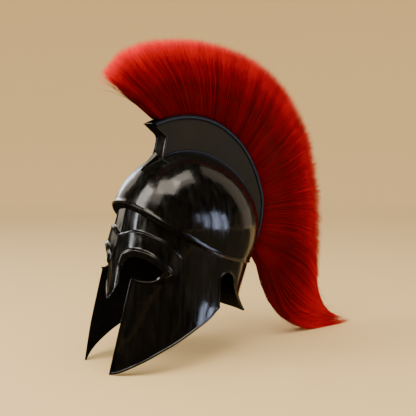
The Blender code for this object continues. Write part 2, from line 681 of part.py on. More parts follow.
def build_plume(rest, look, floor):
    """Comb of tapered locks fused to a backing that sits in the crest holder."""
    bm = bmesh.new()
    left, right = [], []
    columns = 2 * LOCKS
    for i in range(columns + 1):
        rows = lock_path(i / columns, i % 2 == 0, floor)
        right.append([bm.verts.new(from_rest(half, point.x, point.y)) for point, half in rows])
        left.append([bm.verts.new(from_rest(-half, point.x, point.y)) for point, half in rows])
    last = len(right[0]) - 1
    for i in range(columns):
        for j in range(last):
            bm.faces.new((right[i][j], right[i + 1][j], right[i + 1][j + 1], right[i][j + 1]))
            bm.faces.new((left[i][j], left[i][j + 1], left[i + 1][j + 1], left[i + 1][j]))
        bm.faces.new((right[i][0], left[i][0], left[i + 1][0], right[i + 1][0]))
        bm.faces.new((right[i][last], right[i + 1][last], left[i + 1][last], left[i][last]))
    for i in (0, columns):
        for j in range(last):
            bm.faces.new((right[i][j], right[i][j + 1], left[i][j + 1], left[i][j]))
    return finish("plume", bm, rest, look, 60)


def main():
    for old in list(bpy.data.objects):
        bpy.data.objects.remove(old)
    black = material("black_enamelled_steel", (0.012, 0.012, 0.013), 0.16, 0.6)
    satin = material("satin_black_steel", (0.030, 0.032, 0.026), 0.45, 0.4)
    red = material("red_horsehair", (0.42, 0.008, 0.012), 0.55, 0.0)
    rest = bpy.data.objects.new("rest_pose", None)
    bpy.context.collection.objects.link(rest)
    face = build_face_guard(rest, black)
    floor = min(to_rest(vert.co).y for vert in face.data.vertices)
    pieces = [face, build_crown(rest, black), build_crest_holder(rest, satin)]
    pieces += [build_crest_front(rest, black), build_crest_foot(rest, black), build_plume(rest, red, floor)]
    spots = [to_rest(vert.co).x for piece in pieces for vert in piece.data.vertices]
    rest.rotation_euler.x = -TILT
    rest.location = (0, -(min(spots) + max(spots)) / 2, -floor)
    bpy.context.view_layer.update()


main()
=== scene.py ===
# Corinthian helmet with a horsehair plume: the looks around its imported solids. Lengths are in metres.
# Shapes are worked out in the head frame: face to -Y, z = 0 at the cheek tips, angles from the front
# round to the back. The same lean as the solids have then sets them down on the floor.
import math

import bmesh
import bpy
import numpy as np
from mathutils import Matrix, Vector
from mathutils.geometry import delaunay_2d_cdt
from mathutils.kdtree import KDTree


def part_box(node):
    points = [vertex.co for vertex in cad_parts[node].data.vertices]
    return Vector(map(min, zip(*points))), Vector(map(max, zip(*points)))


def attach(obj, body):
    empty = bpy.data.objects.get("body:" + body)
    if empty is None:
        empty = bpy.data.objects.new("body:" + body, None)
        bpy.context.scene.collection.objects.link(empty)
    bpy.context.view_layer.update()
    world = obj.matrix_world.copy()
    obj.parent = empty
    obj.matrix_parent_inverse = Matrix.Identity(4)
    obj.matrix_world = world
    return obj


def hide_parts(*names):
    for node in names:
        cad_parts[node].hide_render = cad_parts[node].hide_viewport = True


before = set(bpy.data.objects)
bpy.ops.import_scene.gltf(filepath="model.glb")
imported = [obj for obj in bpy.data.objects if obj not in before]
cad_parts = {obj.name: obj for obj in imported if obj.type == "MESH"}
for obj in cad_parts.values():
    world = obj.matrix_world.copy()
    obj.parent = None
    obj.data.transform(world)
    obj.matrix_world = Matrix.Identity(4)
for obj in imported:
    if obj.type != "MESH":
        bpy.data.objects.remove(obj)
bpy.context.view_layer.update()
leanBack = math.radians(15)
leanCos, leanSin = math.cos(leanBack), math.sin(leanBack)
sheet = 0.0016  # thickness of the steel
fitGap = 0.0003  # room between one part and the next
mergeWithin = 1e-6  # points closer than this are one

skull = {
    "length": 0.2420, "width": 0.192, "front": -0.021, "widestShare": 0.449,
    "top": 0.349, "equator": 0.2355, "frontRoundness": 2.3, "backRoundness": 2.0,
    "rimBack": 0.2015, "rimRise": 0.0495, "rimSlope": 2.7,
    "flare": 0.0014, "flareBand": 0.0055, "flarePower": 2.2,
    "noseRadius": 0.0009, "noseTurns": (25, 55, 90, 125, 155),
    "lipOver": {"front": 0.0100, "side": 0.0045, "back": 0.0030},
    "lipDrop": {"front": 0.0110, "side": 0.0050, "back": 0.0034},
    "columns": 300, "domeRows": 46, "flareRows": 9, "lipRows": 12, "insideRows": 26,
}
# the lip under the rim: how it turns in and down, its edge, and the fold where the inside starts
lip = {
    "even": 0.30, "turnPower": 2.4, "dropPower": 0.85, "edge": 1.25,
    "foldIn": 0.25, "foldDrop": 0.55, "foldRise": 0.8,
}
middle = skull["front"] + skull["widestShare"] * skull["length"]
domeRise = skull["top"] - skull["equator"]
rimFront = skull["rimBack"] + skull["rimRise"]


def table(names, rows):
    # a dictionary for each row; a short row goes without the last names
    return [dict(zip(names.split(), row)) for row in rows]


def unit(vectors):
    return vectors / np.linalg.norm(vectors, axis=-1, keepdims=True)


def ease(x, start=0.0, over=1.0):
    share = np.clip((x - start) / over, 0.0, 1.0)
    return share * share * (3 - 2 * share)


def smoothCurve(x, rows):
    # a smooth curve through (x, value) rows, flat past both ends
    knots, values = np.array(rows, float).T
    secants = np.diff(values) / np.diff(knots)
    slopes = np.empty_like(values)
    slopes[0], slopes[-1] = secants[0], secants[-1]
    slopes[1:-1] = (values[2:] - values[:-2]) / (knots[2:] - knots[:-2])
    x = np.clip(x, knots[0], knots[-1])
    i = np.clip(np.searchsorted(knots, x, side="right") - 1, 0, len(knots) - 2)
    width = knots[i + 1] - knots[i]
    t = (x - knots[i]) / width
    return (values[i] * (1 + 2 * t) * (1 - t) ** 2 + slopes[i] * width * t * (1 - t) ** 2
            + values[i + 1] * t * t * (3 - 2 * t) - slopes[i + 1] * width * t * t * (1 - t))


def readTable(x, rows):
    # each column of a table as a smooth curve along its first one
    first = next(iter(rows[0]))
    return {name: smoothCurve(x, [(row[first], row[name]) for row in rows]) for name in rows[0]}


def oval(angle, halfWidth, front, back, frontPower, backPower):
    # radius of a rounded oval whose two ends differ and blend across the sides
    along, across = np.cos(angle), np.abs(np.sin(angle))
    power = backPower + (frontPower - backPower) * ease(along + 0.5)
    length = np.where(along > 0, front, back)
    return (across ** power / halfWidth ** power + np.abs(along) ** power / length ** power) ** (-1 / power)


def aroundHead(angle, sizes):
    along = np.cos(angle)
    return (sizes["side"] + (sizes["front"] - sizes["side"]) * ease(along)
            + (sizes["back"] - sizes["side"]) * ease(-along))


def rimHeight(angle):
    return skull["rimBack"] + skull["rimRise"] * ((1 + np.cos(angle)) / 2) ** skull["rimSlope"]


def skullPlan(angle, inset=0.0):
    back = skull["length"] * (1 - skull["widestShare"])
    return oval(angle, skull["width"] / 2 - inset, middle - skull["front"] - inset, back - inset,
                skull["frontRoundness"], skull["backRoundness"])


def rimRadius(angle):
    share = (rimHeight(angle) - skull["equator"]) / domeRise
    return skullPlan(angle) * np.sqrt(1 - share * share) + skull["flare"]


def polar(angle, radius, height):
    return np.stack([radius * np.sin(angle), middle - radius * np.cos(angle), height], axis=-1)


# meshes from a flat grid of Blender's own, bent to shape by the column and row of each of its points

def flatGrid(columns, rows):
    bm = bmesh.new()
    bmesh.ops.create_grid(bm, x_segments=columns, y_segments=rows, size=1.0)
    flat = (np.array([vert.co[:2] for vert in bm.verts]) + 1) / 2
    column, row = np.rint(flat * (columns, rows)).astype(int).T
    return bm, column, row


def bend(bm, points):
    for vert, point in zip(bm.verts, points):
        vert.co = point


def closedTube(lines, otherLines=(), splitEnds=True):
    # from lines of points along a tube, in order round it; faces on otherLines get the second material
    bm, column, row = flatGrid(len(lines[0]) - 1, len(lines))
    row = row % len(lines)
    bend(bm, lines[row, column])
    lineOf = dict(zip(bm.verts, row))
    for made in bm.faces:
        made.material_index = int(any(lineOf[vert] in otherLines for vert in made.verts))
    bmesh.ops.remove_doubles(bm, verts=bm.verts, dist=mergeWithin)
    ends = bmesh.ops.holes_fill(bm, edges=bm.edges, sides=0)["faces"]
    if splitEnds:
        bmesh.ops.triangulate(bm, faces=ends)
    return bm


def addObject(name, data):
    made = bpy.data.objects.new(name, data)
    bpy.context.scene.collection.objects.link(made)
    return made


def finishPiece(name, bm, looks, node, sharp=50):
    bmesh.ops.recalc_face_normals(bm, faces=bm.faces)
    mesh = bpy.data.meshes.new(name)
    bm.to_mesh(mesh)
    bm.free()
    return settlePiece(name, mesh, looks, node, sharp)


def settlePiece(name, mesh, looks, node, sharp=50):
    mesh.transform(restPose)
    mesh.shade_smooth()
    mesh.set_sharp_from_angle(angle=math.radians(sharp))
    for look in looks:
        mesh.materials.append(look)
    piece = addObject(name, mesh)
    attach(piece, "root")
    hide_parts(node)
    mesh.calc_loop_triangles()
    print(f"{name}: {len(mesh.loop_triangles)} triangles")
    return piece


# crown

def crownProfile(angle):
    # radius and height of each row at each angle, from the outer pole over the rim to the inner pole
    rim, radius = rimHeight(angle), rimRadius(angle)
    outer, inner = skullPlan(angle), skullPlan(angle, sheet)
    over, drop = aroundHead(angle, skull["lipOver"]), aroundHead(angle, skull["lipDrop"])
    rimTurn = np.arccos((rim - skull["equator"]) / domeRise)
    bandTurn = rimTurn - skull["flareBand"] / outer
    nose = skull["noseRadius"]
    rows = []

    def dome(turn, plan, rise, flare=0.0):
        rows.append((plan * np.sin(turn) + flare, skull["equator"] + rise * np.cos(turn)))

    for share in np.linspace(0, 1, skull["domeRows"]):
        dome(bandTurn * share, outer, domeRise)
    for share in np.linspace(0, 1, skull["flareRows"])[1:]:
        flare = skull["flare"] * share ** skull["flarePower"]
        dome(bandTurn + (rimTurn - bandTurn) * share, outer, domeRise, flare)
    for turn in np.radians(skull["noseTurns"]):
        rows.append((radius + nose * np.sin(turn), rim - nose * (1 - np.cos(turn))))
    for share in np.linspace(0, 1, skull["lipRows"]):
        into = over * (lip["even"] * share + (1 - lip["even"]) * share ** lip["turnPower"])
        rows.append((radius - into, rim - 2 * nose - (drop - 2 * nose) * share ** lip["dropPower"]))
    rows.append((radius - over, rim - drop + lip["edge"] * sheet))
    fold = rim - lip["foldDrop"] * drop + lip["foldRise"] * sheet
    rows.append((radius - lip["foldIn"] * over - sheet, fold))
    for share in np.linspace(1, 0, skull["insideRows"]):
        dome(rimTurn * share, inner, domeRise - sheet)
    return np.array(rows)


def crownSheet():
    angles = 2 * math.pi * np.arange(skull["columns"]) / skull["columns"]
    profile = crownProfile(angles)
    bm, column, row = flatGrid(skull["columns"], len(profile) - 1)
    column = column % skull["columns"]
    bend(bm, polar(angles[column], profile[row, 0, column], profile[row, 1, column]))
    rowOf = dict(zip(bm.verts, row))
    insideFrom = len(profile) - skull["insideRows"] - 2  # the lip's edge and fold are inside too
    for made in bm.faces:
        made.material_index = int(min(rowOf[vert] for vert in made.verts) >= insideFrom)
    bmesh.ops.remove_doubles(bm, verts=bm.verts, dist=mergeWithin)
    return bm


def findRestPose():
    # the lean is known, and the solids' dome ends and cheek tips say where the leaned head frame stands
    lean = Matrix.Rotation(-leanBack, 4, "X")
    angles = np.linspace(0, math.pi, 200)
    smoothRows = skull["domeRows"] + skull["flareRows"] - 1
    radius, height = crownProfile(angles)[:smoothRows].transpose(1, 0, 2)
    dome = polar(np.broadcast_to(angles, radius.shape), radius, height) @ np.array(lean.to_3x3()).T
    tipAngle = np.radians([face["tipAngle"]])
    tip = polar(tipAngle, faceRadius(tipAngle, np.zeros(1)), np.zeros(1))[0]
    low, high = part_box("crown")
    across = (low.y + high.y - dome[..., 1].min() - dome[..., 1].max()) / 2
    return Matrix.Translation((0, across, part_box("face_guard")[0].z - (lean @ Vector(tip)).z)) @ lean


# face guard

face = {
    "front": -0.010, "back": 0.209, "backRoundness": 2.1, "cheekLean": 0.015, "tuck": 0.006,
    "lipBlend": 0.045, "cheekTop": 0.1455, "cheekBack": 0.1252, "tipAngle": 24.7,
    "slitAngle": 26.8, "slitBow": 0.6, "slitBowAt": 0.4,
    "noseAngle": 6.9, "nasalAngle": 12.2, "nasalTip": 0.1005, "nasalTuck": 0.007,
    "eyeSweep": 50.6, "eyeHeight": 0.0390,
    "browHeight": 0.2127, "browStep": 0.0035, "browBand": 0.0035, "browFade": 14, "noseFade": 8,
    "browBead": 0.0009, "browBeadAt": 0.75, "browBeadWidth": 0.42,
    "creaseProud": 0.0016, "creaseWidth": 0.013, "creaseSoft": 0.0007, "creaseTop": 0.26, "creaseFade": 0.02,
    "notchTop": 0.180, "neckBottom": 0.122, "neckAngle": 157.0, "neckLift": 0.002,
    "neckFlare": 0.016, "flareHeight": 0.030, "flareMost": 1.3, "flareFrom": 0.45, "flareOver": 0.4,
    "eyeRimWidth": 0.0050, "eyeRimProud": 0.0034, "beadWidth": 0.0040, "beadProud": 0.0013, "unroll": 0.45,
}
# levels up the plate: height as a share of the rim's front height, half width as a share of the skull's,
# lean as a share of the cheek lean, squareness of the section
faceSections = table("height width lean square", (
    (-0.12, 0.78, -0.14, 2.5),
    (0.000, 0.82, -0.04, 2.5),
    (0.215, 0.86, 0.20, 2.5),
    (0.390, 0.885, 0.14, 2.6),
    (0.580, 0.905, 0.03, 2.75),
    (0.800, 0.93, 0.00, 2.6),
    (1.000, 0.93, 0.02, 2.3),
))
# eye: share of the sweep out from the nose, share of the eye height over the cheek's top
eyeLower = ((0.393, 0.0), (0.50, -0.018), (0.60, -0.018), (0.692, 0.02), (0.777, 0.095), (0.834, 0.197),
            (0.877, 0.345), (0.895, 0.423))
eyeUpper = ((0.895, 0.423), (0.83, 0.526), (0.737, 0.633), (0.646, 0.71), (0.542, 0.754), (0.431, 0.751),
            (0.312, 0.685), (0.225, 0.577), (0.172, 0.43), (0.144, 0.295))
# crest of the raised lid round the eye, from the cheek round the outer corner to the nose, in the same shares
lidCrest = ((0.43, -0.02), (0.512, -0.069), (0.611, -0.069), (0.70, -0.038), (0.796, 0.044), (0.875, 0.167),
            (0.953, 0.331), (1.0, 0.455), (0.943, 0.587), (0.85, 0.721), (0.747, 0.854), (0.648, 0.936),
            (0.547, 0.977), (0.425, 0.985), (0.312, 0.93), (0.204, 0.833), (0.128, 0.71), (0.085, 0.567),
            (0.081, 0.413), (0.111, 0.259))
# nasal: share of the nasal angle, share of the drop from eye to tip
nasalEdge = ((1.164, 1.0), (1.02, 0.912), (0.967, 0.788), (1.0, 0.611), (0.967, 0.504), (0.78, 0.354),
             (0.426, 0.168), (0.0, 0.0))
# cheek's lower edge: share of the way back from the tip, share of the back corner's height
cheekEdge = ((0.0, 0.0), (0.095, 0.052), (0.184, 0.131), (0.322, 0.265), (0.427, 0.372), (0.581, 0.514),
             (0.781, 0.715), (0.914, 0.857), (1.0, 1.0))
# notch behind the cheek: angle, share of its height over the cheek's back corner
notchEdge = ((121.5, 0.0), (116.7, 0.454), (113.3, 0.754), (115.1, 0.887), (121.6, 1.0), (129.1, 0.936),
             (136.7, 0.644), (145.4, 0.400), (154.0, 0.205))
# brow ridge: angle, share of the brow height
browLine = ((0.0, 0.955), (8.2, 0.977), (18.5, 0.999), (31.0, 1.0), (41.0, 0.986), (51.0, 0.966),
            (59.0, 0.928), (67.0, 0.879))
# height of the lid from the opening's edge to its crest, and from the crest out, and of an edge's bead
# inward from its edge: share of the way, share of the height
lidInside = ((0.0, 0.12), (0.3, 0.42), (0.6, 0.74), (0.85, 0.95), (1.0, 1.0))
lidOutside = ((0.0, 1.0), (0.1, 0.98), (0.25, 0.80), (0.45, 0.42), (0.65, 0.15), (0.85, 0.02), (1.0, 0.0))
beadRise = ((0.0, 0.45), (0.05, 0.85), (0.14, 1.0), (0.55, 1.0), (0.68, 0.80), (0.80, 0.12), (0.90, -0.16),
            (1.0, -0.10), (1.15, 0.0))
# points of the flat sheet: steps along edges and over the field, the room that each keeps, and the rings
# and lines that carry the relief: shares of the bead's width, or millimetres from eye, lid, brow and middle
faceMesh = {
    "edgeStep": 0.0013, "fieldStep": 0.0024, "rowHeight": 0.866, "fieldTop": 0.27, "fieldRoom": 0.62,
    "ringRoom": 0.97, "edgeRoom": 0.5, "lidRoom": 0.0003, "lineRoom": 0.0004,
    "beadRings": (0.05, 0.14, 0.30, 0.45, 0.57, 0.67, 0.76, 0.84, 0.92, 1.02, 1.16),
    "eyeRings": (0.3, 0.7, 1.3),
    "lidRings": (0, 0.35, -0.35, 0.8, -0.8, 1.3, -1.4, 1.9, -2.1, 2.6, -3.0, 3.4, -4.0, 4.2, -5.2, 5.1, -6.4),
    "browLines": (-1.2, -0.3, 0.4, 1.0, 1.6, 2.2, 2.7, 3.2, 3.8, 4.6, 5.8),
    "middleLines": (0.7, 1.5, 2.8, 4.5),
}
unrollRadius = face["unroll"] * skull["width"]


def faceRadius(angle, height):
    level = readTable(height / rimFront, faceSections)
    halfWidth = level["width"] * skull["width"] / 2
    front = middle - face["front"] + face["cheekLean"] * level["lean"]
    radius = oval(angle, halfWidth, front, face["back"] - middle, level["square"], face["backRoundness"])
    lipHeight = rimHeight(angle) - aroundHead(angle, skull["lipDrop"])
    lipRadius = rimRadius(angle) - aroundHead(angle, skull["lipOver"]) - fitGap
    radius = radius + (lipRadius - radius) * ease((height - lipHeight + face["lipBlend"]) / face["lipBlend"])
    below = (face["neckBottom"] + face["flareHeight"] - height) / face["flareHeight"]
    below = np.clip(below, 0.0, face["flareMost"])
    browToTip = face["cheekTop"] + face["eyeHeight"] - face["nasalTip"]
    tuck = ease((face["cheekTop"] + face["eyeHeight"] - height) / browToTip)
    radius = radius - face["nasalTuck"] * tuck * ease(2 - 2 * np.degrees(angle) / face["tipAngle"])
    behind = ease(-np.cos(angle), face["flareFrom"], face["flareOver"])
    return radius + face["neckFlare"] * below ** 2 * behind


def facePoint(angle, height):
    return polar(angle, faceRadius(angle, height), height)


def faceNormal(angle, height):
    step = 0.002
    rise = step * unrollRadius
    turn = facePoint(angle + step, height) - facePoint(angle - step, height)
    up = facePoint(angle, height + rise) - facePoint(angle, height - rise)
    return unit(np.cross(turn, up))


def flatRun(knots, step):
    # even steps along a smooth line through (degrees, height) knots on the unrolled plate
    points = np.array([(math.radians(degrees) * unrollRadius, height) for degrees, height in knots])
    lengths = np.append(0, np.cumsum(np.linalg.norm(np.diff(points, axis=0), axis=1)))
    stations = lengths[-1] * np.arange(max(1, round(lengths[-1] / step))) / max(1, round(lengths[-1] / step))
    return np.stack([smoothCurve(stations, list(zip(lengths, points[:, k]))) for k in (0, 1)], axis=1)


def eyePlaces(knots):
    return [(face["noseAngle"] + share * face["eyeSweep"], face["cheekTop"] + rise * face["eyeHeight"])
            for share, rise in knots]


def faceOutline():
    # half of the unrolled outline, with the kind of edge that starts at each point
    def top(degrees):
        angle = math.radians(degrees)
        return degrees, float(rimHeight(angle) - aroundHead(angle, skull["lipDrop"])) + face["tuck"]

    nasalTop = face["cheekTop"] + eyeUpper[-1][1] * face["eyeHeight"]
    nasal = [(face["nasalAngle"] * share, face["nasalTip"] + (nasalTop - face["nasalTip"]) * rise)
             for share, rise in nasalEdge]
    corner, tip = notchEdge[0][0], face["tipAngle"]
    cheek = [(tip + (corner - tip) * share, face["cheekBack"] * rise) for share, rise in cheekEdge]
    notch = [(degrees, face["cheekBack"] + (face["notchTop"] - face["cheekBack"]) * rise)
             for degrees, rise in notchEdge]
    neckCorner = (face["neckAngle"], face["neckBottom"] + face["neckLift"])
    neckMiddle = (180, face["neckBottom"])
    slitMiddle = (face["slitAngle"] - face["slitBow"], face["cheekTop"] * face["slitBowAt"])
    runs = (
        ("hidden", [top(degrees) for degrees in range(0, 181, 15)]),
        ("middle", [top(180), neckMiddle]),
        ("bead", [neckMiddle, ((180 + face["neckAngle"]) / 2, face["neckBottom"]), neckCorner]),
        ("bead", [neckCorner] + notch[:0:-1] + [notch[0]]),
        ("bead", cheek[::-1]),
        ("bead", [(tip, 0), slitMiddle, eyePlaces(eyeLower)[0]]),
        ("eye", eyePlaces(eyeLower)),
        ("eye", eyePlaces(eyeUpper)),
        ("bead", nasal),
        ("middle", [nasal[-1], top(0)]),
    )
    points, kinds = [], []
    for kind, knots in runs:
        run = flatRun(knots, faceMesh["edgeStep"])
        points.append(run)
        kinds += [kind] * len(run)
    return np.concatenate(points), np.array(kinds)


def inParts(points):
    # a few hundred at a time, so that the tables of distances stay small
    return np.array_split(points, max(1, len(points) // 500))


def edgeDistance(points, outline, kinds, wanted):
    chosen = np.isin(kinds, wanted)
    return lineDistance(points, outline[chosen], np.roll(outline, -1, axis=0)[chosen])


def lineDistance(points, starts, ends):
    along = ends - starts
    found = []
    for part in inParts(points):
        away = part[:, None] - starts
        share = np.clip((away * along).sum(2) / (along * along).sum(1), 0, 1)
        found.append(np.linalg.norm(away - share[..., None] * along, axis=2).min(1))
    return np.concatenate(found)


def withinOutline(points, outline):
    after = np.roll(outline, -1, axis=0)
    result = []
    for part in inParts(points):
        x, y = part[:, 0, None], part[:, 1, None]
        spans = (outline[:, 1] > y) != (after[:, 1] > y)
        rise = np.where(after[:, 1] == outline[:, 1], 1.0, after[:, 1] - outline[:, 1])
        crossing = outline[:, 0] + (after[:, 0] - outline[:, 0]) * (y - outline[:, 1]) / rise
        result.append((spans & (x < crossing)).sum(1) % 2 == 1)
    return np.concatenate(result)


def browHeight(degrees):
    return face["browHeight"] * smoothCurve(degrees, browLine)


def faceRelief(flat, outline, kinds, lid):
    # how far the pressed sheet stands out at brow and middle, and how much more the rolled rims do
    degrees = np.degrees(flat[:, 0] / unrollRadius)
    below = (browHeight(degrees) - flat[:, 1]) / face["browBand"]
    outer = ease((browLine[-1][0] - degrees) / face["browFade"])
    halfEye = 0.5 * face["eyeHeight"]
    low = ease((face["cheekTop"] + halfEye - flat[:, 1]) / halfEye)
    fade = outer * (1 - ease((degrees - face["noseAngle"]) / face["noseFade"]) * low)
    bead = np.exp(-((below - face["browBeadAt"]) / face["browBeadWidth"]) ** 2)
    out = fade * (face["browStep"] * ease(below) + face["browBead"] * bead)
    crease = 1 - np.sqrt(flat[:, 0] ** 2 + face["creaseSoft"] ** 2) / face["creaseWidth"]
    upTo = ease((face["creaseTop"] - flat[:, 1]) / face["creaseFade"])
    out = out + face["creaseProud"] * np.clip(crease, 0, 1) * upTo
    eye = edgeDistance(flat, outline, kinds, ["eye"])
    crestAway = lineDistance(flat, lid[:-1], lid[1:])
    within = smoothCurve(eye / (eye + crestAway + 1e-9), lidInside)
    beyond = smoothCurve(crestAway / face["eyeRimWidth"], lidOutside)
    rim = np.where(withinOutline(flat, lid), within, beyond)
    edge = edgeDistance(flat, outline, kinds, ["bead"]) / face["beadWidth"]
    return out, np.maximum(face["eyeRimProud"] * rim, face["beadProud"] * smoothCurve(edge, beadRise))


def beside(tangents):
    # unit steps to the right of each tangent
    along = unit(tangents)
    return np.stack([along[:, 1], -along[:, 0]], axis=1)


def facePoints(outline, kinds, lid):
    # rings beside each visible edge and the lid's crest, lines along the brow and middle, then an even field
    inward = beside(np.roll(outline, -1, axis=0) - np.roll(outline, 1, axis=0))
    everyKind = ["eye", "bead", "middle", "hidden"]
    chosen = np.empty((0, 2))

    def addRing(kind, depth):
        nonlocal chosen
        ring = (outline + inward * depth)[kinds == kind]
        clear = edgeDistance(ring, outline, kinds, everyKind) > faceMesh["ringRoom"] * depth
        chosen = np.concatenate([chosen, ring[withinOutline(ring, outline) & clear]])

    for share in faceMesh["beadRings"]:
        addRing("bead", share * face["beadWidth"])
    for depth in faceMesh["eyeRings"]:
        addRing("eye", depth / 1000)

    def add(candidates, room):
        nonlocal chosen
        away = edgeDistance(candidates, outline, kinds, everyKind)
        candidates = candidates[withinOutline(candidates, outline) & (away > faceMesh["edgeRoom"] * room)]
        tree = KDTree(len(chosen))
        for i, point in enumerate(chosen):
            tree.insert((*point, 0), i)
        tree.balance()
        clear = [tree.find((*point, 0))[2] > room for point in candidates]
        chosen = np.concatenate([chosen, candidates[np.array(clear, bool)]])

    outward = beside(lid[2:] - lid[:-2])
    for aside in faceMesh["lidRings"]:
        add(lid[1:-1] + outward * aside / 1000, faceMesh["lidRoom"])
    # from beside the middle to just past the end of the brow
    angles = np.arange(0.4, browLine[-1][0] + 2, math.degrees(faceMesh["edgeStep"] / unrollRadius))
    for drop in faceMesh["browLines"]:
        line = np.stack([np.radians(angles) * unrollRadius, browHeight(angles) - drop / 1000], axis=1)
        add(line, faceMesh["lineRoom"])
    heights = np.arange(face["nasalTip"], face["creaseTop"], faceMesh["edgeStep"])
    for across in faceMesh["middleLines"]:
        add(np.stack([np.full_like(heights, across / 1000), heights], axis=1), faceMesh["lineRoom"])
    step, squash = faceMesh["fieldStep"], faceMesh["rowHeight"]
    upTo, width = faceMesh["fieldTop"] / (step * squash), math.pi * unrollRadius / step
    rows, columns = np.mgrid[0:round(upTo), 0:round(width) + 1]
    field = np.stack([(columns + 0.5 * (rows % 2)) * step, rows * step * squash], axis=2).reshape(-1, 2)
    add(field, faceMesh["fieldRoom"] * step)
    return chosen


def makeFaceGuard():
    outline, kinds = faceOutline()
    lid = flatRun(eyePlaces(lidCrest), faceMesh["edgeStep"])
    inner = facePoints(outline, kinds, lid)
    points = [Vector(point) for point in np.concatenate([outline, inner])]
    flat, _, triangles, *_ = delaunay_2d_cdt(points, [], [list(range(len(outline)))], 1, 1e-7)
    flat = np.array([point[:] for point in flat])
    angle = flat[:, 0] / unrollRadius
    out, rims = faceRelief(flat, outline, kinds, lid)
    normal = faceNormal(angle, flat[:, 1])
    pressed = facePoint(angle, flat[:, 1]) + normal * out[:, None]
    place = pressed + normal * rims[:, None]
    under = pressed - normal * sheet
    onMiddle = np.minimum(angle, math.pi - angle) < mergeWithin
    place[onMiddle, 0] = under[onMiddle, 0] = 0.0
    bm = bmesh.new()
    outside = [bm.verts.new(point) for point in place]
    inside = [bm.verts.new(point) for point in under]
    for a, b, c in triangles:
        bm.faces.new((outside[a], outside[b], outside[c]))
        bm.faces.new((inside[c], inside[b], inside[a])).material_index = 1
    opposite = dict(zip(outside, inside))
    for edge in [edge for edge in bm.edges if len(edge.link_faces) == 1 and edge.verts[0] in opposite]:
        a, b = edge.link_loops[0].vert, edge.link_loops[0].link_loop_next.vert
        if abs(a.co.x) + abs(b.co.x) > 1e-9:
            bm.faces.new((b, a, opposite[a], opposite[b]))
    bmesh.ops.mirror(bm, geom=bm.verts[:] + bm.edges[:] + bm.faces[:], axis="X", merge_dist=mergeWithin)
    return finishPiece("faceGuard", bm, [blackEnamel, matteInside], "face_guard")


# crest: the open-topped holder, its front plate and the foot

crest = {
    "start": 55.9, "end": 188.0, "height": 0.0545, "width": 0.028, "proud": 0.0014, "stations": 150,
    "rim": 0.0066, "rimMost": 0.45, "footRim": 0.0030, "footRimMost": 0.38,
    "plateOverlap": 0.0010, "plateGap": 0.0006, "plateBead": 0.0034, "plateProud": 0.0018,
    "footSweep": 17.0, "footWidth": 0.012, "footNarrowing": 0.85, "footHeight": 0.009, "footPower": 1.3,
    "footAhead": 0.3, "footStations": 30,
}
# holder's height along its arc, and its front edge: share up, angle past the start, half width
crestProfile = ((0.0, 0.99), (0.15, 1.02), (0.224, 1.02), (0.305, 0.995), (0.376, 0.93), (0.447, 0.853),
                (0.553, 0.69), (0.649, 0.547), (0.738, 0.44), (0.805, 0.32), (0.896, 0.185), (1.0, 0.09))
crestFront = table("rise angle width", (
    (0.00, -0.4, 1.22),
    (0.15, 1.7, 1.16),
    (0.33, 4.4, 1.14),
    (0.52, 5.9, 1.14),
    (0.78, 2.7, 1.07),
    (1.00, 0.0, 1.00),
))
# side of the holder from its foot to its top, by zone: share of the zone, share of the rim's stand-out
holderSide = {
    "foot": ((0.00, 0.70), (0.12, 0.97), (0.75, 1.00), (0.93, 0.75), (1.00, 0.00)),
    "panel": ((0.06, 0.0), (0.2, 0.0), (0.35, 0.0), (0.5, 0.0), (0.65, 0.0), (0.8, 0.0), (0.94, 0.0)),
    "rim": ((0.00, 0.00), (0.05, 0.75), (0.13, 1.00), (0.50, 1.06), (0.85, 1.00), (0.96, 0.80), (1.00, 0.35)),
}
# front plate's bead, from its edge inward: share of its width, share of its stand-out; the rows up the plate
plateBead = ((0.0, 0.25), (0.10, 0.70), (0.28, 0.96), (0.50, 1.0), (0.72, 0.90), (0.90, 0.55), (1.05, 0.12),
             (1.2, 0.0))
plateRises = np.concatenate([np.linspace(0, 0.9, 46), np.linspace(0.91, 1, 8)])
# foot's left half: share of its half width, share of its height
footRidge = ((-1.0, 0.16), (-0.92, 0.34), (-0.6, 0.60), (-0.25, 0.86), (-0.08, 0.985), (0.0, 1.0))


def skullReach(angle, across):
    # from the skull's middle to its surface in a plane beside the middle one: 0 forward, 90 up, 180 back
    forward, up = np.cos(np.radians(angle)), np.sin(np.radians(angle))
    across = np.broadcast_to(across, np.shape(angle))
    near, far = np.full(np.shape(angle), 0.5 * domeRise), np.full(np.shape(angle), 2.0 * skull["length"])
    for _ in range(40):  # each round halves the span
        reach = (near + far) / 2
        y, z = -forward * reach, up * reach
        plan = skullPlan(np.arctan2(across, -y))
        within = (across * across + y * y) / plan ** 2 + (z / domeRise) ** 2 < 1
        near, far = np.where(within, reach, near), np.where(within, far, reach)
    return near


def crestPoint(angle, reach, across):
    turn = np.radians(angle)
    across = np.broadcast_to(across, np.shape(turn))
    return np.stack([across, middle - reach * np.cos(turn), skull["equator"] + reach * np.sin(turn)], axis=-1)


def crestHeight(share):
    return crest["height"] * smoothCurve(share, crestProfile)


def crestFrontAngle(rise):
    return crest["start"] + readTable(rise, crestFront)["angle"]


def crestPlace(share, rise, across, lift=0.0):
    first = crestFrontAngle(rise)
    angle = first + share * (crest["end"] - first)
    onBase = np.where(np.asarray(rise) == 0, across, 0.0)
    reach = skullReach(angle, onBase) + fitGap + rise * crestHeight(share) + lift
    return crestPoint(angle, reach, across)


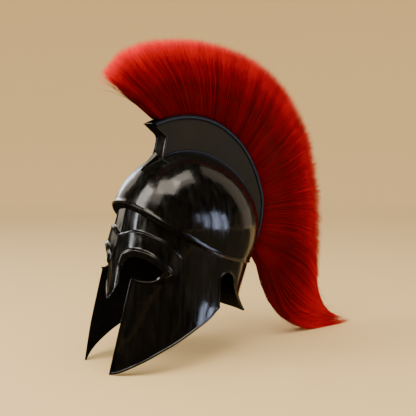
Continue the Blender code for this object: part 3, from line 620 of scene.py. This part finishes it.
def holderSection(share):
    # across and rise of each point round the channel, at each share of its arc
    height = crestHeight(share)
    foot = np.minimum(crest["footRim"] / height, crest["footRimMost"])
    rim = 1 - np.minimum(crest["rim"] / height, crest["rimMost"])
    zones = {"foot": (0 * foot, foot), "panel": (foot, rim), "rim": (rim, 0 * rim + 1)}
    half = crest["width"] / 2
    side = []
    for zone, points in holderSide.items():
        low, high = zones[zone]
        for part, proud in points:
            side.append((half + crest["proud"] * proud + 0 * height, low + (high - low) * part))
    inner = half - sheet + 0 * height
    floor = sheet / height
    side += [(inner, 0 * height + 1), (inner, rim), (inner, (rim + floor) / 2), (inner, floor)]
    floorRow = [(0.5 * half + 0 * height, floor), (0 * height, floor), (-0.5 * half + 0 * height, floor)]
    left = [(-across, rise) for across, rise in reversed(side)]
    base = [(part * half + 0 * height, 0 * height) for part in (-0.6, 0.0, 0.6)]
    return side + floorRow + left + base


def makeCrestHolder():
    shares = np.linspace(0, 1, crest["stations"] + 1)
    section = holderSection(shares)
    lines = np.array([crestPlace(shares, rise, across) for across, rise in section])
    satinLines = set(range(len(holderSide["foot"]), len(holderSide["foot"] + holderSide["panel"])))
    satinLines |= {len(section) - 4 - k for k in satinLines}  # and on the left, ahead of the base
    bm = closedTube(lines, satinLines)
    return finishPiece("crestHolder", bm, [workedEdge, satinSteel], "crest_holder", 35)


def makeCrestPlate():
    # two rounded beads with a shallow hollow between them, from the skull up to the beak
    half = readTable(plateRises, crestFront)["width"] * crest["width"] / 2
    half = half + crest["plateOverlap"] * (1 - plateRises)
    reach = skullReach(crestFrontAngle(plateRises), 0.0) + fitGap + plateRises * crestHeight(0.0)
    gap, thick = np.degrees(crest["plateGap"] / reach), np.degrees((crest["plateGap"] + sheet) / reach)
    proud = np.degrees(crest["plateProud"] / reach)
    right = [(half - crest["plateBead"] * share, thick + proud * out) for share, out in plateBead]
    right += [(right[-1][0] * part, thick) for part in (0.75, 0.5, 0.25)]
    front = right + [(0 * half, thick)] + [(-across, ahead) for across, ahead in reversed(right)]
    back = [(across, gap) for across, _ in reversed(front)][2:-2]
    lines = []
    for across, ahead in front + back:
        angle = crestFrontAngle(plateRises) - ahead
        away = np.where(plateRises > 0, reach, skullReach(angle, across) + fitGap)
        lines.append(crestPoint(angle, away, across))
    return finishPiece("crestFrontPlate", closedTube(np.array(lines)), [blackEnamel], "crest_front_plate", 40)


def makeCrestFoot():
    # a small keel down the forehead that narrows and sinks to its end
    plateDepth = 2 * fitGap + sheet + crest["plateProud"]
    ahead = math.degrees(plateDepth / skull["length"] * 2) + crest["footAhead"]
    shares = np.linspace(0, 1, crest["footStations"] + 1)
    angle = crestFrontAngle(0.0) - ahead - crest["footSweep"] * shares
    half = crest["footWidth"] / 2 * (1 - crest["footNarrowing"] * shares)
    height = crest["footHeight"] * (1 - shares) ** crest["footPower"] + sheet
    ridge = footRidge + tuple((-across, rise) for across, rise in reversed(footRidge[:-1]))
    lines = []
    for across, rise in ridge + tuple((across, 0.0) for across, _ in reversed(ridge)):
        reach = skullReach(angle, across * half) + fitGap + height * rise
        lines.append(crestPoint(angle, reach, across * half))
    bm = closedTube(np.array(lines), splitEnds=False)
    return finishPiece("crestFoot", bm, [blackEnamel], "crest_foot", 60)


# plume: a core painted dark as the shade inside the hair, and locks of single hairs over and past it

plume = {
    "reach": 0.285, "spread": 0.021, "spreadRate": 2.2, "closeFrom": 0.35, "clear": 0.0012, "bend": 0.33,
    "tailStart": 0.85, "tailBendRoot": 0.24, "tailBendTip": 0.74,
}
# round from the forehead to the tail, in the rest pose: share of the locks passed, share of the crest arc
# at the root, angle and reach of the tip from the skull's middle, directions of the lock at root and tip
# (0 forward, 90 up, 180 back), side spread, and the share of it that stays at the tip
plumeLocks = table("at root tip reach leave arrive spread end", (
    (0.00, 0.030, 61.0, 0.925, 41, 41, 0.85, 0.35),
    (0.07, 0.10, 71.0, 0.977, 57, 56, 1.00, 0.35),
    (0.20, 0.25, 97.0, 0.990, 87, 92, 1.00, 0.35),
    (0.34, 0.45, 126.0, 1.018, 121, 124, 1.00, 0.35),
    (0.46, 0.60, 148.0, 1.000, 146, 150, 1.00, 0.35),
    (0.56, 0.72, 166.0, 0.972, 165, 172, 1.00, 0.38),
    (0.65, 0.82, 184.0, 0.975, 177, 205, 1.05, 0.42),
    (0.74, 0.90, 199.0, 1.010, 190, 240, 1.10, 0.50),
    (0.82, 0.945, 206.5, 1.062, 205, 245, 1.12, 0.55),
    (0.90, 0.970, 210.4, 1.190, 210, 215, 1.12, 0.50),
    (1.00, 0.978, 211.0, 1.396, 212, 171, 1.08, 0.42),
))
# the core fills a share of the comb, and of the length and width of the locks
core = {
    "columns": 120, "rows": 15, "from": 0.03, "to": 0.955, "length": 0.80, "width": 0.80, "thinnest": 0.002,
    "offFloor": 0.003,
}
hairGroups = table("name from to", (
    ("plumeHairFront", 0.0, 0.26),
    ("plumeHairTop", 0.26, 0.50),
    ("plumeHairBack", 0.50, 0.74),
    ("plumeHairTail", 0.74, 1.0),
))
# hairs in each group, their steps and thickness, the locks that gather them, and how far they stray from them
hair = {
    "seed": 7, "each": 8600, "tailEach": 0.56, "steps": 5, "tailSteps": 8, "tailCrowding": 0.75,
    "ends": 0.002, "root": 0.00042, "tip": 0.00020, "taper": 1.3, "thinnest": 0.75, "thickest": 1.2,
    "outward": 1.4, "ownTint": 0.38, "rowTint": 0.4,
    "locksAcross": 5, "locksAlong": 180, "tailLocks": 0.5, "keys": 997, "keyAlong": 9973, "keyAcross": 331,
    "gather": 0.9, "gatherBy": 0.4, "gatherSide": 0.6, "part": 0.7, "partFrom": 0.55, "partOver": 0.45,
    "length": 1.042, "tailShorter": 0.03, "lockUneven": 0.014,
    "backUneven": 1.1, "backFrom": 0.35, "backOver": 0.25, "shorter": 0.032, "uneven": 0.010,
    "furthest": 1.08, "tailNearer": 0.05, "drift": 0.005, "sway": 0.10,
    "loose": 0.02, "looseFront": 0.4, "looseTail": 0.08, "looseEnds": 0.03, "looseReach": 0.009,
    "widest": 1.12, "offFloor": 0.0006,
}


def leaned(points):
    # y and z in the leaned frame of points in the head frame
    y, z = points[..., 1], points[..., 2]
    return np.stack([y * leanCos + z * leanSin, z * leanCos - y * leanSin], -1)


def unleaned(across, spot):
    y, z = spot[..., 0], spot[..., 1]
    return np.stack([across, y * leanCos - z * leanSin, y * leanSin + z * leanCos], -1)


def heading(degrees):
    turn = np.radians(degrees)
    return np.stack([-np.cos(turn), np.sin(turn)], axis=-1)


def tailward(share):
    # from none over the dome to all at the last of the tail
    return ease(share, plume["tailStart"], 1 - plume["tailStart"])


def lockSpot(share, along, floor):
    # leaned y, z and half width at a share of the comb and a share of the way along its locks
    look = readTable(share, plumeLocks)
    start = leaned(crestPlace(look["root"], 1.0, 0.0, plume["clear"]))
    centre = leaned(np.array([0, middle, skull["equator"]]))
    tip = centre + heading(look["tip"]) * (plume["reach"] * look["reach"])[..., None]
    chord = np.linalg.norm(tip - start, axis=-1)
    tail = tailward(share)
    rootBend = plume["bend"] + (plume["tailBendRoot"] - plume["bend"]) * tail
    tipBend = plume["bend"] + (plume["tailBendTip"] - plume["bend"]) * tail
    leave = start + heading(look["leave"]) * (chord * rootBend)[..., None]
    arrive = tip - heading(look["arrive"]) * (chord * tipBend)[..., None]
    t = along[..., None]
    spot = (start * (1 - t) ** 3 + leave * 3 * (1 - t) ** 2 * t + arrive * 3 * (1 - t) * t * t + tip * t ** 3)
    spot[..., 1] = np.maximum(spot[..., 1], floor)
    rootHalf = crest["width"] / 2 - sheet - fitGap
    out = rootHalf + (plume["spread"] * look["spread"] - rootHalf) * ease(plume["spreadRate"] * along)
    closing = ease(along, plume["closeFrom"], 1 - plume["closeFrom"])
    return spot, out * (1 - (1 - look["end"]) * closing)


def makePlumeCore():
    # lines up the right side, over, and down the left side into the channel
    shares = np.linspace(core["from"], core["to"], core["columns"] + 1)
    rootHalf = crest["width"] / 2 - sheet - 2 * fitGap
    arc = readTable(shares, plumeLocks)["root"]
    rises = ((sheet + 2 * fitGap) / crestHeight(arc), 0.5, 1.0 + 0 * arc)
    side = [unleaned(rootHalf + 0 * arc, leaned(crestPlace(arc, rise, 0.0))) for rise in rises]
    for along in np.linspace(0, core["length"], core["rows"])[1:]:
        spot, half = lockSpot(shares, along + 0 * shares, restFloor + core["offFloor"])
        side.append(unleaned(np.maximum(core["width"] * half, core["thinnest"]), spot))
    lines = np.array(side + [line * (-1, 1, 1) for line in reversed(side)])
    # the core's dark red colour is painted shade for the shadowed inside of the plume
    return finishPiece("plumeCore", closedTube(lines), [hairCorePaintedShade], "plume", 60)


def hairTubes(name, paths, radii, tint, steps):
    # three-sided tapered tubes, closed at the root and drawn to a point, joined as one mesh
    count, rows = paths.shape[:2]
    tangent = unit(np.gradient(paths, axis=1))
    aside = unit(np.cross(tangent, np.array([1.0, 0.15, 0.1])))  # a way that no hair runs
    ahead = np.cross(tangent, aside)
    turns = np.radians((90, 210, 330))
    around = np.cos(turns)[:, None] * aside[:, :-1, None] + np.sin(turns)[:, None] * ahead[:, :-1, None]
    rings = paths[:, :-1, None] + around * radii[:, :-1, None, None]
    points = np.concatenate([rings.reshape(count, -1, 3), paths[:, -1:]], axis=1)
    each = 3 * (rows - 1) + 1
    quads = []
    for row in range(rows - 2):
        for k in range(3):
            a, b = 3 * row + k, 3 * row + (k + 1) % 3
            quads.append((a, b, b + 3, a + 3))
    low = 3 * (rows - 2)
    ends = [(0, 2, 1)] + [(low + k, low + (k + 1) % 3, each - 1) for k in range(3)]
    corners = np.array([corner for made in quads + ends for corner in made])
    sizes = np.array([len(made) for made in quads + ends])
    base = (np.arange(count) * each)[:, None]
    mesh = bpy.data.meshes.new(name)
    mesh.vertices.add(count * each)
    mesh.vertices.foreach_set("co", points.reshape(-1).astype(np.float32))
    mesh.loops.add(count * len(corners))
    mesh.loops.foreach_set("vertex_index", (base + corners).reshape(-1).astype(np.int32))
    mesh.polygons.add(count * len(sizes))
    starts = np.concatenate([[0], np.cumsum(sizes)[:-1]])
    starts = (np.arange(count) * len(corners))[:, None] + starts
    mesh.polygons.foreach_set("loop_start", starts.reshape(-1).astype(np.int32))
    mesh.update(calc_edges=True)
    along = steps[np.minimum(np.arange(each) // 3, rows - 1)]
    layer = mesh.uv_layers.new(name="hairLength")
    uv = np.broadcast_arrays(tint[:, None], along[corners])
    layer.uv.foreach_set("vector", np.stack(uv, 2).reshape(-1).astype(np.float32))
    return settlePiece(name, mesh, [horsehair], "plume", 180)


def makePlumeHair():
    rng = np.random.default_rng(hair["seed"])
    for group in hairGroups:
        inTail = group["to"] == 1.0
        count = round(hair["each"] * hair["tailEach"]) if inTail else hair["each"]
        share = np.clip(rng.uniform(group["from"], group["to"], count), hair["ends"], 1 - hair["ends"])
        depth = 1 - rng.uniform(0, 1, count) ** hair["outward"]
        side = depth * rng.choice((-1, 1), count)
        # the lock that each hair belongs to; locks with the same key share a tint and a length
        locksAlong = hair["locksAlong"] * (hair["tailLocks"] if inTail else 1)
        lock = (np.floor(share * locksAlong) + 0.5) / locksAlong
        lockSide = np.round(side * hair["locksAcross"]) / hair["locksAcross"]
        rowKey = (lock * hair["keyAlong"]).astype(int) % hair["keys"]
        lockKey = (lock * hair["keyAlong"] + lockSide * hair["keyAcross"]).astype(int) % hair["keys"]
        lockTint = (1 - hair["rowTint"]) * rng.uniform(0, 1, hair["keys"])[lockKey]
        lockTint = lockTint + hair["rowTint"] * rng.uniform(0, 1, hair["keys"])[rowKey]
        ragged = 1 + hair["backUneven"] * ease(share, hair["backFrom"], hair["backOver"])
        lockLength = rng.normal(0, hair["lockUneven"], hair["keys"])[lockKey] * ragged
        tail = tailward(share)
        length = hair["length"] - hair["tailShorter"] * tail + lockLength
        length = length - np.abs(rng.normal(0, hair["shorter"], count)) + rng.normal(0, hair["uneven"], count)
        drift = rng.normal(0, hair["drift"], count)
        sway = rng.normal(0, hair["sway"], count)
        steps = np.linspace(0, 1, hair["tailSteps" if inTail else "steps"])
        steps = steps ** (hair["tailCrowding"] if inTail else 1)
        along = np.clip(length[:, None] * steps, 0, (hair["furthest"] - hair["tailNearer"] * tail)[:, None])
        # hairs gather to their lock and part again towards the tip
        parting = 1 - hair["part"] * ease(along, hair["partFrom"], hair["partOver"])
        pull = hair["gather"] * ease(along / hair["gatherBy"]) * parting
        shareAt = share[:, None] + (lock - share)[:, None] * pull + drift[:, None] * along ** 2
        sidePull = (lockSide - side)[:, None] * pull * hair["gatherSide"]
        sideAt = side[:, None] + sidePull + sway[:, None] * along ** 2
        spot, half = lockSpot(np.clip(shareAt, 0, 1), along, restFloor + hair["offFloor"])
        # a few hairs stand away from the rest, most of them at the two ends of the comb
        atFront, atTail = share < hair["looseEnds"], share > 1 - hair["looseEnds"]
        chance = hair["loose"] + hair["looseFront"] * atFront + hair["looseTail"] * atTail
        loose = rng.uniform(0, 1, count) < chance
        run = unit(np.gradient(spot, axis=1))
        aside = (loose * rng.normal(0, hair["looseReach"], count))[:, None] * along ** 2
        spot = spot + np.stack([-run[..., 1], run[..., 0]], axis=2) * aside[..., None]
        spot[..., 1] = np.maximum(spot[..., 1], restFloor + hair["offFloor"])
        paths = unleaned(np.clip(sideAt, -hair["widest"], hair["widest"]) * half, spot)
        width = rng.uniform(hair["thinnest"], hair["thickest"], count)[:, None]
        radii = width * (hair["root"] + (hair["tip"] - hair["root"]) * steps ** hair["taper"])
        tint = (1 - hair["ownTint"]) * lockTint + hair["ownTint"] * rng.uniform(0, 1, count)
        hairTubes(group["name"], paths, radii, np.clip(tint, 0, 1), steps)


# materials

def linearColour(hexCode):
    parts = [int(hexCode[i:i + 2], 16) / 255 for i in (1, 3, 5)]
    return tuple(c / 12.92 if c <= 0.04045 else ((c + 0.055) / 1.055) ** 2.4 for c in parts) + (1.0,)


def addNode(tree, kind, settings=None, links=None, stops=()):
    # settings are socket values or node properties, links are {input: output socket}, stops a ramp's colours
    node = tree.nodes.new(kind)
    for key, value in (settings or {}).items():
        if key in node.inputs:
            node.inputs[key].default_value = value
        else:
            setattr(node, key, value)
    for key, source in (links or {}).items():
        tree.links.new(source, node.inputs[key])
    for number, (place, hexCode) in enumerate(stops):
        elements = node.color_ramp.elements
        element = elements[number] if number < len(elements) else elements.new(place)
        element.position = place
        element.color = linearColour(hexCode)
    return node


def newMaterial(name, fixed):
    # fixed are the values on the shader's own sockets
    made = bpy.data.materials.new(name)
    made.use_nodes = True
    shader = made.node_tree.nodes["Principled BSDF"]
    for socket, value in fixed.items():
        shader.inputs[socket].default_value = value
    return made, made.node_tree, shader


# coats of paint: noise by its real size, detail and upright stretch, the noise and colours of the tone, the
# noise and range of the roughness, and bumps from fine to broad by noise, depth and strength
coats = {
    # stoved black enamel over hammered steel sheet: deep gloss that bends the reflections a little
    "blackEnamel": {
        "noise": {"smears": (0.007, 6.0, 0.18), "ripple": (0.0028, 3.0), "hammer": (0.009, 1.0),
                  "dents": (0.030, 2.0)},
        "tone": ("smears", (0.3, "#050505"), (0.75, "#12110e")),
        "rough": ("smears", {"From Min": 0.3, "From Max": 0.75, "To Min": 0.08, "To Max": 0.25}),
        "bumps": (("ripple", 0.00004, 0.6), ("hammer", 0.00007, 0.5), ("dents", 0.0009, 0.45)),
        "fixed": {"IOR": 1.48, "Specular IOR Level": 0.5},
    },
    # satin olive-black paint, rolled on: soft sheen with a fine grain
    "satinSteel": {
        "noise": {"grain": (0.0012, 3.0), "cloud": (0.025, 4.0)},
        "tone": ("cloud", (0.3, "#1d1b0e"), (0.75, "#252216")),
        "rough": ("cloud", {"To Min": 0.42, "To Max": 0.58}),
        "bumps": (("grain", 0.00004, 0.6),),
        "fixed": {"Specular IOR Level": 0.12},
    },
    # bare sheet sprayed flat black on the inside: no gloss, a gritty grain and a few browner rubs
    "matteInside": {
        "noise": {"grain": (0.0009, 3.0), "rubs": (0.018, 6.0)},
        "tone": ("rubs", (0.4, "#030303"), (0.75, "#0d0a08")),
        "bumps": (("grain", 0.00005, 0.7),),
        "fixed": {"Roughness": 0.8, "Specular IOR Level": 0.12},
    },
    # the mass of horsehair below the surface, red with dye: dull, and its dark red is painted shade for hair
    # lying in its own shadow
    "hairCorePaintedShade": {
        "noise": {"grain": (0.0018, 3.0)},
        "tone": ("grain", (0.3, "#2c0000"), (0.7, "#5c0000")),
        "fixed": {"Roughness": 0.8, "Specular IOR Level": 0.2},
    },
}
# the same enamel on the holder's worked rims: rubbed, so it is duller
coats["workedEdge"] = dict(
    coats["blackEnamel"],
    rough=("smears", {"From Min": 0.3, "From Max": 0.75, "To Min": 0.30, "To Max": 0.45}),
    fixed={"IOR": 1.48, "Specular IOR Level": 0.3},
)


def makeCoat(name):
    coat = coats[name]
    made, tree, shader = newMaterial(name, coat["fixed"])
    place = addNode(tree, "ShaderNodeTexCoord").outputs["Object"]
    noise = {}
    for pattern, (size, detail, *stretch) in coat["noise"].items():
        settings, source = {"Scale": 1 / size, "Detail": detail}, place
        if stretch:
            drawn = addNode(tree, "ShaderNodeMapping", {"Scale": (1.0, 1.0, stretch[0])}, {"Vector": place})
            source = drawn.outputs["Vector"]
        noise[pattern] = addNode(tree, "ShaderNodeTexNoise", settings, {"Vector": source}).outputs["Fac"]
    pattern, *stops = coat["tone"]
    tone = addNode(tree, "ShaderNodeValToRGB", links={"Fac": noise[pattern]}, stops=stops)
    tree.links.new(tone.outputs["Color"], shader.inputs["Base Color"])
    if "rough" in coat:
        pattern, limits = coat["rough"]
        rough = addNode(tree, "ShaderNodeMapRange", limits, {"Value": noise[pattern]})
        tree.links.new(rough.outputs["Result"], shader.inputs["Roughness"])
    links = {}
    for pattern, depth, strength in coat.get("bumps", ()):
        links["Height"] = noise[pattern]
        bump = addNode(tree, "ShaderNodeBump", {"Distance": depth, "Strength": strength}, links)
        links["Normal"] = bump.outputs["Normal"]
    if "Normal" in links:
        tree.links.new(links["Normal"], shader.inputs["Normal"])
    return made


# colours along a hair from root to tip: the red of the dye, darker towards the root as painted shade and
# brighter at the tips as painted light; and how much of them the darkest and brightest locks keep
dyeAndPaintedShading = {
    "tone": ((0.0, "#780008"), (0.40, "#78000a"), (0.66, "#a00010"), (0.84, "#e20018"), (0.95, "#ff0020")),
    "shade": {"To Min": 0.24, "To Max": 1.2},
    "fixed": {"Roughness": 0.55, "IOR": 1.55, "Specular IOR Level": 0.06},
}


def makeHorsehair():
    # horsehair red with dye, a little glossy: darker at the root as painted shade, bright red at the tips as
    # painted light, each lock its own tone
    made, tree, shader = newMaterial("horsehair", dyeAndPaintedShading["fixed"])
    uv = addNode(tree, "ShaderNodeUVMap", {"uv_map": "hairLength"})
    split = addNode(tree, "ShaderNodeSeparateXYZ", links={"Vector": uv.outputs["UV"]})
    # the ramp along the hair is painted shade at the root and painted light at the tips
    along = addNode(tree, "ShaderNodeValToRGB", links={"Fac": split.outputs["Y"]}, stops=dyeAndPaintedShading["tone"])
    shade = addNode(tree, "ShaderNodeMapRange", dyeAndPaintedShading["shade"], {"Value": split.outputs["X"]})
    mixed = addNode(tree, "ShaderNodeVectorMath", {"operation": "SCALE"},
                    {"Vector": along.outputs["Color"], "Scale": shade.outputs["Result"]})
    tree.links.new(mixed.outputs["Vector"], shader.inputs["Base Color"])
    return made


# stage: a rolled card to stand on, and dark cloths that only the gloss sees; compass and height angles

stage = {
    "colour": "#e8c88a", "flat": 1.7, "roll": 1.9, "rise": 80,
    "tentRadius": 1.95, "tentCentre": 0.1, "capFrom": 50, "openFrom": -140, "openTo": -105,
    "flagTop": 11, "flagFrom": 0.14, "flagLift": 0.002, "mergeWithin": 1e-5,
}
floorFlags = table("from to wallFrom wallTo colour", (
    (-135, 94, -105, 94, "#14130f"),
    (94, 176, 94, 220, "#524e40"),
))
cloth = {"Roughness": 1.0, "Specular IOR Level": 0.0}


def finishStage(name, bm, look):
    mesh = bpy.data.meshes.new(name)
    bm.to_mesh(mesh)
    bm.free()
    mesh.shade_smooth()
    mesh.materials.append(look)
    made = addObject(name, mesh)
    return made


def sweep(bm, geom, fromAngle, toAngle):
    # compass angles from -Y, so the profile in the +X plane is turned by fromAngle - 90 first
    turn = Matrix.Rotation(math.radians(fromAngle - 90), 3, "Z")
    bmesh.ops.rotate(bm, verts=[part for part in geom if isinstance(part, bmesh.types.BMVert)], matrix=turn)
    angle = math.radians(toAngle - fromAngle)
    bmesh.ops.spin(bm, geom=geom, cent=(0, 0, 0), axis=(0, 0, 1), angle=angle, steps=72)


def profile(bm, corners):
    verts = [bm.verts.new(corner) for corner in corners]
    return [bm.edges.new(pair) for pair in zip(verts, verts[1:])] + verts


def tentCorners(fromRise, toRise, count):
    rises = np.linspace(math.radians(fromRise), math.radians(toRise), count)
    centre = Vector((0, 0, stage["tentCentre"]))
    return [centre + stage["tentRadius"] * Vector((math.cos(rise), 0, math.sin(rise))) for rise in rises]


def glossOnly(made):
    made.visible_camera = made.visible_diffuse = made.visible_shadow = made.visible_transmission = False


def makeFloor():
    # plain pale card, flat under the helmet and rolled up all round it, so that no edge shows from any side
    look = newMaterial("paleCard", {"Base Color": linearColour(stage["colour"]), "Roughness": 0.85})[0]
    bm = bmesh.new()
    start = profile(bm, [(0, 0, 0), (stage["flat"], 0, 0)])[-1]
    bmesh.ops.spin(bm, geom=[start], cent=(stage["flat"], 0, stage["roll"]), axis=(0, -1, 0),
                   angle=math.radians(stage["rise"]), steps=24)
    sweep(bm, bm.edges[:] + bm.verts[:], 0, 360)
    bmesh.ops.remove_doubles(bm, verts=bm.verts, dist=stage["mergeWithin"])
    finishStage("floor", bm, look)


def makeTent():
    # black velvet behind the lights: a cap all round and a wall, open to the card on one side
    look = newMaterial("blackVelvet", {"Base Color": linearColour("#020202"), **cloth})[0]
    bm = bmesh.new()
    sweep(bm, profile(bm, tentCorners(90, stage["capFrom"], 17)), 0, 360)
    wall = profile(bm, tentCorners(stage["capFrom"], stage["flagTop"], 9))
    sweep(bm, wall, stage["openTo"], stage["openFrom"] + 360)
    bmesh.ops.remove_doubles(bm, verts=bm.verts, dist=stage["mergeWithin"])
    glossOnly(finishStage("blackTent", bm, look))


def makeFloorFlags():
    # dark baize over the floor and up the foot of the wall, open behind the helmet
    for number, flag in enumerate(floorFlags):
        look = newMaterial("baize", {"Base Color": linearColour(flag["colour"]), **cloth})[0]
        bm = bmesh.new()
        inner, outer = ((across, 0, stage["flagLift"]) for across in (stage["flagFrom"], stage["tentRadius"]))
        wall = profile(bm, tentCorners(stage["flagTop"], 0, 4) + [outer])
        sweep(bm, wall, flag["wallFrom"], flag["wallTo"])
        sweep(bm, profile(bm, [inner, outer]), flag["from"], flag["to"])
        glossOnly(finishStage(f"floorFlag{number}", bm, look))


# camera and light

camera = {
    "yaw": 57.19, "pitch": 6.78, "distance": 1.1923, "aside": 0.16436, "above": 0.23730,
    "pixels": 800.05, "photoWidth": 416, "sensor": 36,
}


def direction(angle, rise):
    turn, up = math.radians(angle), math.radians(rise)
    return Vector((math.sin(turn) * math.cos(up), -math.cos(turn) * math.cos(up), math.sin(up)))


def setCamera():
    yaw = math.radians(camera["yaw"])
    back = direction(camera["yaw"], camera["pitch"])
    right = Vector((math.cos(yaw), math.sin(yaw), 0))
    up = back.cross(right)
    spot = back * camera["distance"] + right * camera["aside"] + up * camera["above"]
    data = bpy.data.cameras.new("camera")
    data.sensor_width = camera["sensor"]
    data.lens = camera["pixels"] / camera["photoWidth"] * data.sensor_width
    made = addObject("camera", data)
    turn = Matrix((right, up, back)).transposed().to_4x4()
    made.matrix_world = Matrix.Translation(spot + Vector((0, restPose.translation.y, 0))) @ turn
    bpy.context.scene.camera = made


# soft panels round the helmet: compass angle from the front (90 is its left side), height angle, distance,
# width and height of the panel, power and colour; for some, that only gloss sees them, and their own aim
lightPanels = table("name angle height away size power colour glossOnly aim", (
    ("frontSoftbox", -16, 34, 1.5, (0.62, 0.86), 16, "#fff6ea"),
    ("frontHalo", 8, 44, 1.55, (1.0, 0.55), 4.4, "#fff2e0"),
    ("frontStrip", -31, 7, 1.5, (0.17, 0.62), 4.4, "#eef0f4"),
    ("topSoftbox", 38, 60, 1.5, (1.0, 0.62), 12.6, "#fff2e0"),
    ("topRear", 95, 73, 1.5, (0.80, 0.40), 5.4, "#fff2e0"),
    ("topHalo", 95, 62, 1.55, (0.90, 0.30), 2.2, "#fff2e0"),
    ("sideStrip", -88, 17, 1.5, (0.34, 0.50), 3.6, "#e4ecff", True),
    ("sideHalo", -88, 16, 1.55, (1.1, 0.90), 5.0, "#fff0dc", True),
    ("rearSoftbox", 173, 22, 1.5, (0.6, 2.0), 3.0, "#ffe8cc"),
    ("windowFar", 104, 7, 1.45, (0.10, 0.24), 0.30, "#cfdcff"),
    ("windowLeft", 113, 3, 1.45, (0.15, 0.36), 1.1, "#cfdcff"),
    ("windowMiddle", 124, 3, 1.45, (0.16, 0.46), 2.3, "#cfdcff"),
    ("windowRight", 133.5, 1, 1.45, (0.15, 0.42), 1.5, "#cfdcff"),
    ("lowPaneLeft", 130, -19, 0.155, (0.030, 0.040), 0.034, "#cfdcff", True, (0.084, -0.105, 0.075)),
    ("lowPaneRight", 147, -21, 0.155, (0.026, 0.034), 0.026, "#cfdcff", True, (0.084, -0.105, 0.075)),
))
lightAim = Vector((0, -0.1, 0.23))
ambient = {"colour": "#fff7ea", "strength": 1.0}


def setLights():
    world = bpy.data.worlds.new("studio")
    bpy.context.scene.world = world
    world.use_nodes = True
    background = world.node_tree.nodes["Background"]
    background.inputs["Color"].default_value = linearColour(ambient["colour"])
    background.inputs["Strength"].default_value = ambient["strength"]
    for panel in lightPanels:
        data = bpy.data.lights.new(panel["name"], "AREA")
        data.shape = "RECTANGLE"
        data.size, data.size_y = panel["size"]
        data.energy = panel["power"]
        data.color = linearColour(panel["colour"])[:3]
        made = addObject(panel["name"], data)
        made.visible_camera = False
        made.visible_diffuse = "glossOnly" not in panel
        away = direction(panel["angle"], panel["height"])
        facing = away.to_track_quat("Z", "Y").to_matrix().to_4x4()
        aim = Vector(panel.get("aim", lightAim))
        made.matrix_world = Matrix.Translation(aim + away * panel["away"]) @ facing


blackEnamel = makeCoat("blackEnamel")
workedEdge = makeCoat("workedEdge")
satinSteel = makeCoat("satinSteel")
matteInside = makeCoat("matteInside")
horsehair = makeHorsehair()
hairCorePaintedShade = makeCoat("hairCorePaintedShade")
print("materials made")
restPose = findRestPose()
restFloor = -restPose.translation.z
print("rest pose", restPose.translation)
finishPiece("crownShell", crownSheet(), [blackEnamel, matteInside], "crown", 40)
makeFaceGuard()
makeCrestPlate()
makeCrestFoot()
makeCrestHolder()
makePlumeCore()
makePlumeHair()
makeFloor()
makeTent()
makeFloorFlags()
print("stage set")
setCamera()
setLights()
print("camera and lights set")
